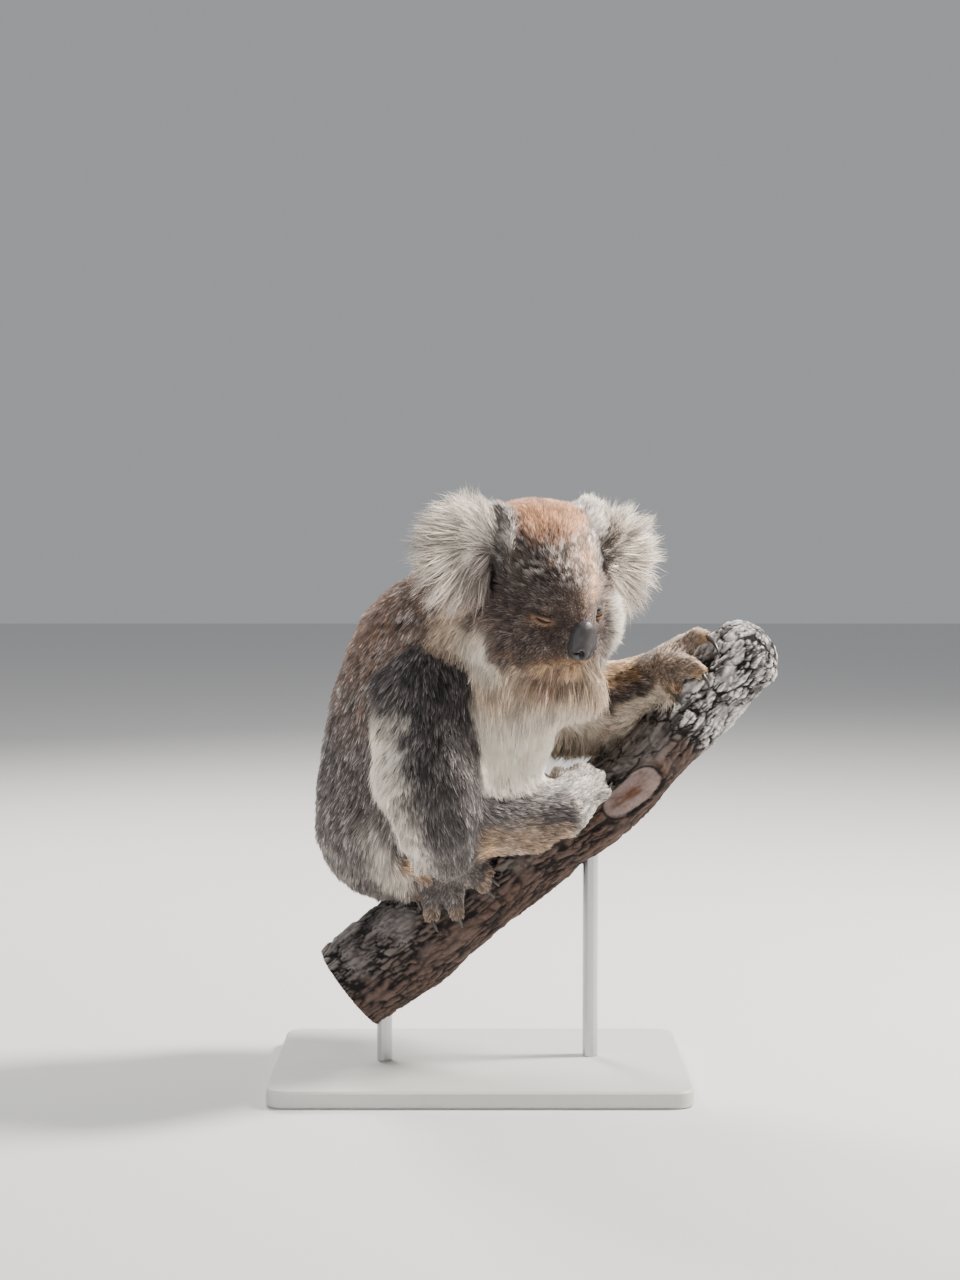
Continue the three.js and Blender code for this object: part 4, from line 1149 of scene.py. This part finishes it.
def locks(chosen, steps):
    """Long three-sided tufts, tapered and curved. Steps are the places of the rings from root to tip."""
    start, run, reach, side = tuft_axes(chosen)
    lifted = root_normal[chosen] * (ARCH * np.sin(rise[chosen]) * reach)[:, None]
    up = np.cross(unit(run), side)
    broad = width[chosen] * MM * np.exp(0.2 * rng.normal(size=len(chosen)))
    sway = side * (0.07 * rng.normal(size=len(chosen)) * reach)[:, None]
    rings, leaning = [], []
    for step in steps:
        middle = start + run * step + (lifted + sway) * (4 * step * (1 - step))
        size = broad * ((0.7 + step) if step < 0.4 else (1 - step) ** 0.7 * 1.2) / 2
        for turn in (90, 210, 330):
            wide, thick = math.cos(math.radians(turn)), math.sin(math.radians(turn)) * 0.62
            leaning.append(side * wide + up * thick)
            rings.append(middle + leaning[-1] * size[:, None])
    rings.append(start + run)
    leaning.append(0.6 * unit(run))
    pattern = [[0, 1, 2]]
    for ring in range(len(steps) - 1):
        for k in range(3):
            a, b = 3 * ring + k, 3 * ring + (k + 1) % 3
            pattern += [[a, a + 3, b], [b, a + 3, b + 3]]
    last = 3 * (len(steps) - 1)
    pattern += [[last + k, last + 3, last + (k + 1) % 3] for k in range(3)]
    along = np.repeat([*steps, 1.0], [3] * len(steps) + [1])
    across = np.array([0.5, 0.0, 1.0] * len(steps) + [0.5])
    return np.stack(rings, axis=1), np.array(pattern)[:, ::-1], np.stack(leaning, axis=1), along, across


def fringes(chosen):
    return locks(chosen, (0.0, 0.4))


def brushes(chosen):
    return locks(chosen, (0.0, 0.3, 0.65))


UV_PATCH = 0.003  # the side of a tuft's patch on the skin's unwrap
SOFT = 1.5  # how much more a tuft's shading follows the skin under it than its own sides
FUR = coat_finish()
MOST_TRIANGLES = 196_000  # of a piece


def tuft_mesh(name, chosen, shape):
    """The chosen tufts as one piece."""
    points, pattern, leaning, along, across = shape(chosen)
    per = points.shape[1]
    faces = (np.arange(len(chosen))[:, None, None] * per + pattern).reshape(-1, 3)
    mesh = bpy.data.meshes.new(name)
    mesh.vertices.add(points.size // 3)
    mesh.loops.add(faces.size)
    mesh.polygons.add(len(faces))
    mesh.vertices.foreach_set("co", points.astype(np.float32).ravel())
    mesh.loops.foreach_set("vertex_index", faces.astype(np.int32).ravel())
    mesh.polygons.foreach_set("loop_start", np.arange(0, faces.size, 3, dtype=np.int32))
    shade_smooth(mesh)
    mesh.update(calc_edges=True)
    for mark in MARKS:
        add_mark(mesh, mark, np.repeat(root_marks[mark][chosen], per))
    add_mark(mesh, "shade", np.repeat(shade[chosen], per))
    add_mark(mesh, "frost", np.repeat(frost[chosen], per))
    add_mark(mesh, "tip", np.tile(along, len(chosen)))
    patch = np.stack([across - 0.5, along - 0.5], axis=1) * UV_PATCH
    uv = (root_uv[chosen][:, None, :] + patch).reshape(-1, 2)[faces.ravel()]
    mesh.uv_layers.new(name="OFBake").data.foreach_set("uv", uv.astype(np.float32).ravel())
    soft = SOFT * (1 - 0.8 * ramp(length[chosen], 20, 34))
    facing = unit(leaning + soft[:, None, None] * root_normal[chosen][:, None, :])
    mesh.normals_split_custom_set_from_vertices(facing.reshape(-1, 3))
    mesh.materials.append(FUR)
    piece = new_object(name, mesh)
    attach(piece, "root")
    return piece


COAT_GROUPS = {
    "coat_trunk": (("trunk",), "grey_fur"),
    "coat_neck": (("neck",), "brown_fur"),
    "coat_head": (("head",), "brown_fur"),
    "coat_arms": (ARM_PARTS, "grey_fur"),
    "coat_legs": (LEG_PARTS, "pale_fur"),
    "coat_ears": (("ear",), "ear_fur"),
}
LONG = 37.0  # millimetres from which a tuft is made as a lock
FACETS = {spikes: 4, fringes: 10, brushes: 16}  # triangles of one tuft
region_kind = np.array([kind_of(r) for r in REGIONS])[main_region]
for name, (kinds, slot) in COAT_GROUPS.items():
    of_kind = np.isin(region_kind, kinds) & kept
    long_ones = of_kind & ((length > LONG) | (region_kind == "ear"))
    long_shape = brushes if "ear" in kinds else fringes
    groups = {name: (of_kind & ~long_ones, spikes), name + "_long": (long_ones, long_shape)}
    for label, (among, shape) in groups.items():
        chosen = np.flatnonzero(among)
        chosen = chosen[np.argsort(root[chosen, 0])]
        parts = math.ceil(len(chosen) * FACETS[shape] / MOST_TRIANGLES)
        for number, part in enumerate(np.array_split(chosen, parts) if parts else ()):
            tuft_mesh(f"{label}_{number + 1}", part, shape)

# ------------------------------------------------------------------ eyes, nose and claws


def eye_finish():
    eye = Finish("eye", Roughness=0.30, Specular_IOR_Level=0.16)
    eye.set("Base Color", eye.blend((0.003, 0.002, 0.002), (0.030, 0.013, 0.006), eye.mark("iris")))
    return eye.material


def eyeball(side, finish):
    """A ball with a slight bulge at the front and a browner ring round the pupil."""
    bm = bmesh.new()
    bmesh.ops.create_uvsphere(bm, u_segments=40, v_segments=28, radius=EYE_RADIUS * MM)
    axes = eye_axes(side)
    iris = []
    for v in bm.verts:
        out, along, up = v.co.z, v.co.x, v.co.y
        turn = math.acos(max(-1, min(1, out / (EYE_RADIUS * MM))))
        iris.append(1.0 if 0.2 < turn < 0.75 else 0.25)
        bulge = 1 + 0.04 * math.exp(-((turn / 0.6) ** 2))
        local = np.array([out, along, up]) * bulge
        v.co = Vector(on_head(*EYE[side]) + local @ axes)
    bmesh.ops.recalc_face_normals(bm, faces=bm.faces)
    made = finished(bm, "eyeball_" + side)
    add_mark(made.data, "iris", iris)
    made.data.materials.append(finish)
    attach(made, "root")
    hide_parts("eye_" + side)


eye_material = eye_finish()
for eye_side in EYE:
    eyeball(eye_side, eye_material)


def nose_finish():
    leather = Finish("nose leather", Roughness=0.42, Specular_IOR_Level=0.45)
    inputs = {"Scale": 900.0, "Vector": leather.place()}
    pebble = leather.node("TexVoronoi", {"feature": "DISTANCE_TO_EDGE"}, inputs)
    colour = leather.blend((0.026, 0.022, 0.023), (0.066, 0.058, 0.060), leather.mark("worn"))
    colour = leather.blend(colour, (0.26, 0.15, 0.13), leather.mark("pink"))
    # Painted shade: near black inside the nostrils and their slits.
    leather.set("Base Color", leather.blend(colour, (0.008, 0.006, 0.006), leather.mark("nostril_shade")))
    leather.set("Roughness", 0.30 + 0.22 * leather.noise(0.003))
    leather.bump(pebble + 0.4 * leather.noise(0.0016), 0.35, 0.0004)
    return leather.material


def nose():
    """The nose pad's leather: nostrils with slits beside them, wings over them, and a groove between."""
    rough = finished(copied_nodes(["nose"], 0.0), "nose rough")
    made = fused(rough, "nose_leather", 0.75 * MM)
    points, edges = points_of(made.data), edges_of(made.data)
    points = relaxed(points, edges, 14, 0.55) + normals_of(made.data) * (0.35 * MM)
    set_points(made.data, points)
    head, normals = in_head(points), normals_of(made.data)
    f, side, u = head[:, 0], np.abs(head[:, 1]), head[:, 2]
    ahead = ramp(f, 64, 72)
    hole_up, hole_side = (u + 46.5) / 4.6, (side - 8.6 - 0.28 * (u + 46.5)) / 2.7
    hole = np.exp(-((hole_up**2 + hole_side**2) ** 1.5)) * ahead
    slit = np.exp(-(((side - 13.2) / 3.0) ** 2 + ((u + 45.0) / 1.1) ** 2)) * ramp(f, 58, 66)
    hole = np.maximum(hole, slit)
    groove = bump_at(side, 0, 1.0) * ramp(-u, 42, 50) * ahead
    wing = bump_at(np.hypot((u + 46) / 7.5, (side - 9) / 6.0), 1.0, 0.28) * ahead
    worn = layered(points, 6 * MM, 90)
    lift = -5.0 * hole - 1.1 * groove + 0.9 * wing + 0.18 * worn + 0.10 * noise(points, 1.6 * MM, 91)
    lift -= 0.5 * bump_at(u, -39, 3.0) * bump_at(side, 9, 6)
    set_points(made.data, points + normals * (lift * MM)[:, None])
    # Painted shade inside the nostrils and their slits, darkest where they are deepest.
    add_mark(made.data, "nostril_shade", np.clip(hole * 1.6, 0, 1))
    add_mark(made.data, "worn", np.clip(0.45 + 0.5 * worn + 0.3 * ramp(u, -40, -12), 0, 1))
    add_mark(made.data, "pink", ramp(-u + 2 * worn, 53.0, 57.0) * 0.8)
    made.data.materials.clear()
    made.data.materials.append(nose_finish())
    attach(made, "root")
    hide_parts("nose")


nose()


def claw_finish():
    horn = Finish("claw horn", Roughness=0.28, Specular_IOR_Level=0.6)
    streak = horn.noise(0.0012, 2.0, place=horn.place((0.3, 0.3, 1.0)))
    colour = horn.blend((0.028, 0.024, 0.022), (0.150, 0.125, 0.105), horn.mark("pale"))
    horn.set("Base Color", horn.brighten(colour, 0.65 + 0.7 * streak))
    horn.set("Roughness", 0.22 + 0.2 * streak)
    return horn.material


# Each claw is the solid's own shape with its facets rounded off.
HORN = claw_finish()
for claw in CLAWS:
    bm = copied_nodes([claw], 0.25 * MM)
    bmesh.ops.join_triangles(
        bm, faces=bm.faces, angle_face_threshold=0.7, angle_shape_threshold=1.2, cmp_seam=False,
        cmp_sharp=False, cmp_uvs=False, cmp_vcols=False, cmp_materials=False,
    )
    made = finished(bm, claw.replace("claw_", "horn_"))
    add_mark(made.data, "pale", ramp(noise(points_of(made.data), 5 * MM, 95), -0.2, 0.8))
    smoothing = made.modifiers.new("round", "SUBSURF")
    smoothing.levels = smoothing.render_levels = 2
    made.data.materials.clear()
    made.data.materials.append(HORN)
    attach(made, "root")
    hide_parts(claw)

# ------------------------------------------------------------------ the branch

BARK = {"along": 430, "around": 176}
CUT = 0.055  # the share of the grid's length that closes the cut end
TIP = {"length": 34 * MM, "share": 0.1}  # the rounded end, and its share of the rest of the grid
# A lost branch's scar: millimetres from the cut end, degrees from the top, and half its length and width.
SCAR = {"along": 402, "turn": 98, "half": (37, 19)}


def bark_finish():
    bark = Finish("bark", Roughness=0.88, Specular_IOR_Level=0.25)
    grain = bark.noise(0.004, 4.0)
    colour = bark.blend((0.095, 0.077, 0.071), (0.270, 0.238, 0.222), bark.mark("weathered"))
    colour = bark.blend(colour, (0.120, 0.074, 0.056), bark.mark("reddish"))
    colour = bark.blend(colour, (0.800, 0.760, 0.730), bark.mark("lichen"))
    colour = bark.blend(colour, (0.010, 0.008, 0.008), bark.mark("crack"))
    wood = bark.blend((0.270, 0.205, 0.185), (0.105, 0.045, 0.027), bark.mark("heart"))
    colour = bark.blend(colour, wood, bark.mark("wood"))
    bark.set("Base Color", bark.brighten(colour, 0.62 + 0.76 * grain))
    bark.bump(bark.noise(0.0022, 5.0, 0.65), 0.6, 0.0012)
    return bark.material


def bark_rows(share, turn):
    """The bark's grid laid along the branch: its middle, directions and radius, and how far along it lies."""
    middle, radius = LINE[:, :3], LINE[:, 3]
    travelled = np.concatenate([[0], np.cumsum(np.linalg.norm(np.diff(middle, axis=0), axis=1))])
    t = np.clip((share - CUT) / (1 - CUT), 0, 1)
    over = np.clip((t - 1 + TIP["share"]) / TIP["share"], 0, 1) * math.pi / 2
    past = np.sin(over)
    straight = np.minimum(t / (1 - TIP["share"]), 1) * (travelled[-1] - TIP["length"])
    run = straight + TIP["length"] * past
    centre = np.stack([np.interp(run, travelled, middle[:, k]) for k in range(3)], axis=1)
    slope = np.gradient(middle, axis=0)
    ahead = unit(np.stack([np.interp(run, travelled, slope[:, k]) for k in range(3)], axis=1))
    right = unit(np.cross(ahead, [0, 0, 1.0]))
    up = np.cross(right, ahead)
    rows = SimpleNamespace(turn=turn, centre=centre, ahead=ahead, past=past, along=run / MM)
    rows.spin = right * np.sin(turn)[:, None] + up * np.cos(turn)[:, None]
    rows.size = np.interp(run, travelled, radius)
    rows.shrink = np.maximum(np.cos(over), 0) ** 0.8
    across = rows.size * rows.shrink
    rows.flat = np.stack([run, np.sin(turn) * across, np.cos(turn) * across], axis=1)
    return rows


def cracked_bark(rows):
    """Scales between cracks on top, long fissures beneath, and crumbled plates at the weathered end."""
    flat = rows.flat
    wander = np.stack([layered(flat, 30 * MM, 100 + k, 4) for k in range(3)], axis=1) * 11 * MM
    gap, number = plates((flat + wander) * [0.34, 1, 1], 10.5 * MM, 110)
    long_gap, long_number = plates((flat + wander * 0.6) * [0.13, 1, 1], 8.5 * MM, 120)
    small_gap, small_number = plates((flat + 0.5 * wander) * [0.45, 1, 1], 4.6 * MM, 130)
    end = ramp(rows.along + 9 * layered(flat, 22 * MM, 106), 480, 512)
    top = ramp(np.cos(rows.turn) + 0.5 * layered(flat, 40 * MM, 105), -0.25, 0.6)
    top = np.clip(top + end, 0, 1)
    open_crack = 0.4 + 0.6 * ramp(layered(flat, 24 * MM, 107), -0.5, 0.2)
    crack = (1 - ramp(gap, 0.03, 0.19)) * open_crack * (0.6 + 0.4 * top)
    fissure = (1 - ramp(long_gap, 0.05, 0.26)) * (0.95 - 0.25 * top) * open_crack
    crack = np.maximum(crack, fissure)
    small = (1 - ramp(small_gap, 0.03, 0.2)) * (0.3 + 0.6 * end) * open_crack
    ridges = layered(flat * [0.15, 1, 1], 4.5 * MM, 170)
    relief = 1.3 * number + 0.8 * long_number + 0.7 * small_number
    relief += 1.6 * layered(flat, 11 * MM, 140, 4) + 1.2 * ridges - 3.4 * crack - 1.3 * small
    relief += 2.6 * end * (layered(flat, 9 * MM, 141, 4) + 0.35)
    weathered = 0.2 + 0.4 * top + 0.25 * (number - 0.5) + 0.25 * (small_number - 0.5)
    weathered += 0.3 * layered(flat, 18 * MM, 160) + 0.35 * ridges
    return SimpleNamespace(relief=relief, crack=crack, small=small, end=end, top=top, weathered=weathered)


def add_scar(rows, bark):
    """The scar of a lost branch: a sunk face of ringed wood inside a rolled rim, with a crack over it."""
    flat, (half_along, half_turn) = rows.flat, SCAR["half"]
    along = rows.along - SCAR["along"]
    turn = np.radians(np.degrees(rows.turn) - SCAR["turn"]) * rows.size / MM
    reach = (np.abs(along / half_along) ** 2.6 + np.abs(turn / half_turn) ** 2.6) ** (1 / 2.6)
    reach = reach * (1 + 0.05 * np.sin(3 * np.arctan2(turn, along) + 1))
    bark.wood = 1 - ramp(reach, 0.92, 1.0)
    bark.collar = bump_at(reach, 1.18, 0.15)
    rings = 0.5 * layered(flat * [0.22, 1, 1], 2.2 * MM, 150)
    hollow = -1.6 + rings - 1.2 * np.exp(-((reach / 0.35) ** 2)) + 0.35 * layered(flat, 5 * MM, 151)
    split = bump_at(turn + half_turn + 3.5 * np.sin(along / 7) + 0.02 * (along - 8) ** 2, 0, 1.5)
    split = split * (np.abs(along - 6) < 26)
    bark.relief = bark.relief * (1 - bark.wood) * (1 - 0.5 * bark.collar) + 3.4 * bark.collar
    bark.relief += bark.wood * hollow - 3.4 * split
    rim = np.maximum(split, 0.9 * bump_at(reach, 1.03, 0.045))
    bark.crack = np.maximum(bark.crack * (1 - bark.wood), rim)
    bark.crack = np.maximum(bark.crack, bark.wood * 0.5 * ramp(-along + 5 * rings, 24, 33))
    heart = np.exp(-(((along + 4) / 21) ** 2 + ((turn + 1) / 8) ** 2))
    bark.heart = heart + 0.35 * layered(flat, 6 * MM, 152) + 1.1 * rings


def bark_marks(rows, bark, on_cut, inner):
    """The colours of the bark, the scar and the cut end, each from 0 to 1."""
    cut_rings = 0.25 + 0.3 * np.sin(inner * 60) + 0.4 * (inner < 0.35)
    crumbs = layered(rows.flat, 10 * MM, 162) + 0.3 * bark.relief
    crack = np.clip(1.25 * np.maximum(bark.crack, 0.7 * bark.small), 0, 1) ** 1.2
    return {
        "crack": crack * ~on_cut,
        "weathered": bark.weathered,
        "reddish": (1 - bark.top) * 0.8 + 0.4 * bark.collar + 0.35 * layered(rows.flat, 30 * MM, 161),
        "lichen": bark.end * (0.35 + 0.65 * ramp(crumbs, -0.5, 0.5)),
        "wood": np.where(on_cut, 1.0, bark.wood),
        "heart": np.where(on_cut, cut_rings, bark.heart),
    }


def branch_piece():
    """One grid rolled round the branch's line, closed by a cut face and a rounded end."""
    bm = bmesh.new()
    bmesh.ops.create_grid(bm, x_segments=BARK["along"], y_segments=BARK["around"], size=0.5)
    bm.verts.ensure_lookup_table()
    made = finished(bm, "bark")
    grid = points_of(made.data)
    share, turn = grid[:, 0] + 0.5, (grid[:, 1] + 0.5) * 2 * math.pi
    rows = bark_rows(share, turn)
    bark = cracked_bark(rows)
    add_scar(rows, bark)

    along, on_cut = rows.along, share < CUT
    broad = 2.2 * np.sin(along / 41 + 2 * turn) + 1.6 * np.sin(along / 23 - 3 * turn)
    broad += 3.5 * np.exp(-(((along - 505) / 16) ** 2)) * np.maximum(0, np.sin(turn))
    reach = (rows.size + (broad - 1.2 + bark.relief * 0.8) * MM) * rows.shrink
    inner = np.where(on_cut, np.clip(share / CUT, 0, 1) ** 0.9, 1.0)
    saw = np.where(on_cut, 0.35 * np.sin((rows.flat[:, 2] * inner) / MM * 2.1), 0)
    place = rows.centre + rows.spin * (reach * inner)[:, None] - rows.ahead * (saw * MM)[:, None]
    place += rows.ahead * (2.5 * MM * layered(rows.flat, 14 * MM, 142) * rows.past)[:, None]
    set_points(made.data, place)

    bm = bmesh.new()
    bm.from_mesh(made.data)
    marks = bark_marks(rows, bark, on_cut, inner)
    layers = {name: bm.verts.layers.float.new(name) for name in marks}
    bm.verts.ensure_lookup_table()
    for name, values in marks.items():
        layer = layers[name]
        for v, value in zip(bm.verts, np.clip(values, 0, 1)):
            v[layer] = value
    bmesh.ops.remove_doubles(bm, verts=bm.verts, dist=0.02 * MM)
    if bm.calc_volume(signed=True) < 0:
        bmesh.ops.reverse_faces(bm, faces=bm.faces)
    bm.to_mesh(made.data)
    bm.free()
    shade_smooth(made.data)
    made.data.materials.append(bark_finish())
    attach(made, "root")
    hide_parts("perch_branch")


branch_piece()

# ------------------------------------------------------------------ the stand


def plinth_finish():
    paint = Finish("plinth paint", Roughness=0.5, Specular_IOR_Level=0.4)
    grain = paint.noise(0.03, 3.0, place=paint.place((0.15, 1.0, 1.0)))
    paint.set("Base Color", paint.blend((0.66, 0.645, 0.615), (0.60, 0.585, 0.555), grain))
    paint.set("Roughness", 0.42 + 0.18 * paint.noise(0.012))
    paint.bump(paint.noise(0.0016, 2.0), 0.06, 0.0003)
    return paint.material


def steel_finish():
    steel = Finish("brushed steel", Metallic=1.0, Roughness=0.32)
    brushed = steel.noise(0.0011, 2.0, place=steel.place((1.0, 1.0, 22.0)))
    steel.set("Base Color", steel.blend((0.50, 0.50, 0.51), (0.62, 0.62, 0.62), brushed))
    steel.set("Roughness", 0.24 + 0.2 * brushed)
    return steel.material


def repaint(name, finish):
    nodes[name].data.materials.clear()
    nodes[name].data.materials.append(finish)


repaint("stand_base", plinth_finish())
steel = steel_finish()
for name in ("stand_rod_1", "stand_rod_2"):
    repaint(name, steel)
    shade_smooth(nodes[name].data)

# ------------------------------------------------------------------ the studio


def floor():
    bm = bmesh.new()
    bmesh.ops.create_grid(bm, x_segments=2, y_segments=2, size=12.0)
    made = finished(bm, "floor")
    pale = Finish("floor", Roughness=0.9)
    pale.set("Base Color", (0.74, 0.735, 0.725))
    made.data.materials.append(pale.material)


def lamp(name, at, size, power, colour=(1, 1, 1)):
    data = bpy.data.lights.new(name, "AREA")
    data.shape, data.size, data.energy, data.color = "DISK", size, power, colour
    made = bpy.data.objects.new(name, data)
    made.location = at
    made.rotation_euler = (Vector((0, 0, 0.4)) - Vector(at)).to_track_quat("-Z", "Y").to_euler()
    bpy.context.scene.collection.objects.link(made)


floor()
lamp("key", (2.1, 0.2, 2.5), 0.6, 270, (1.0, 0.955, 0.90))
lamp("fill", (-2.0, -2.7, 1.5), 2.2, 26, (0.93, 0.965, 1.0))
lamp("back", (-1.1, 2.1, 2.3), 1.0, 105, (1.0, 0.97, 0.93))
world = bpy.data.worlds.new("studio")
bpy.context.scene.world = world
world.use_nodes = True
background = next(n for n in world.node_tree.nodes if n.type == "BACKGROUND")
background.inputs["Color"].default_value = (0.86, 0.88, 0.92, 1)
background.inputs["Strength"].default_value = 0.40
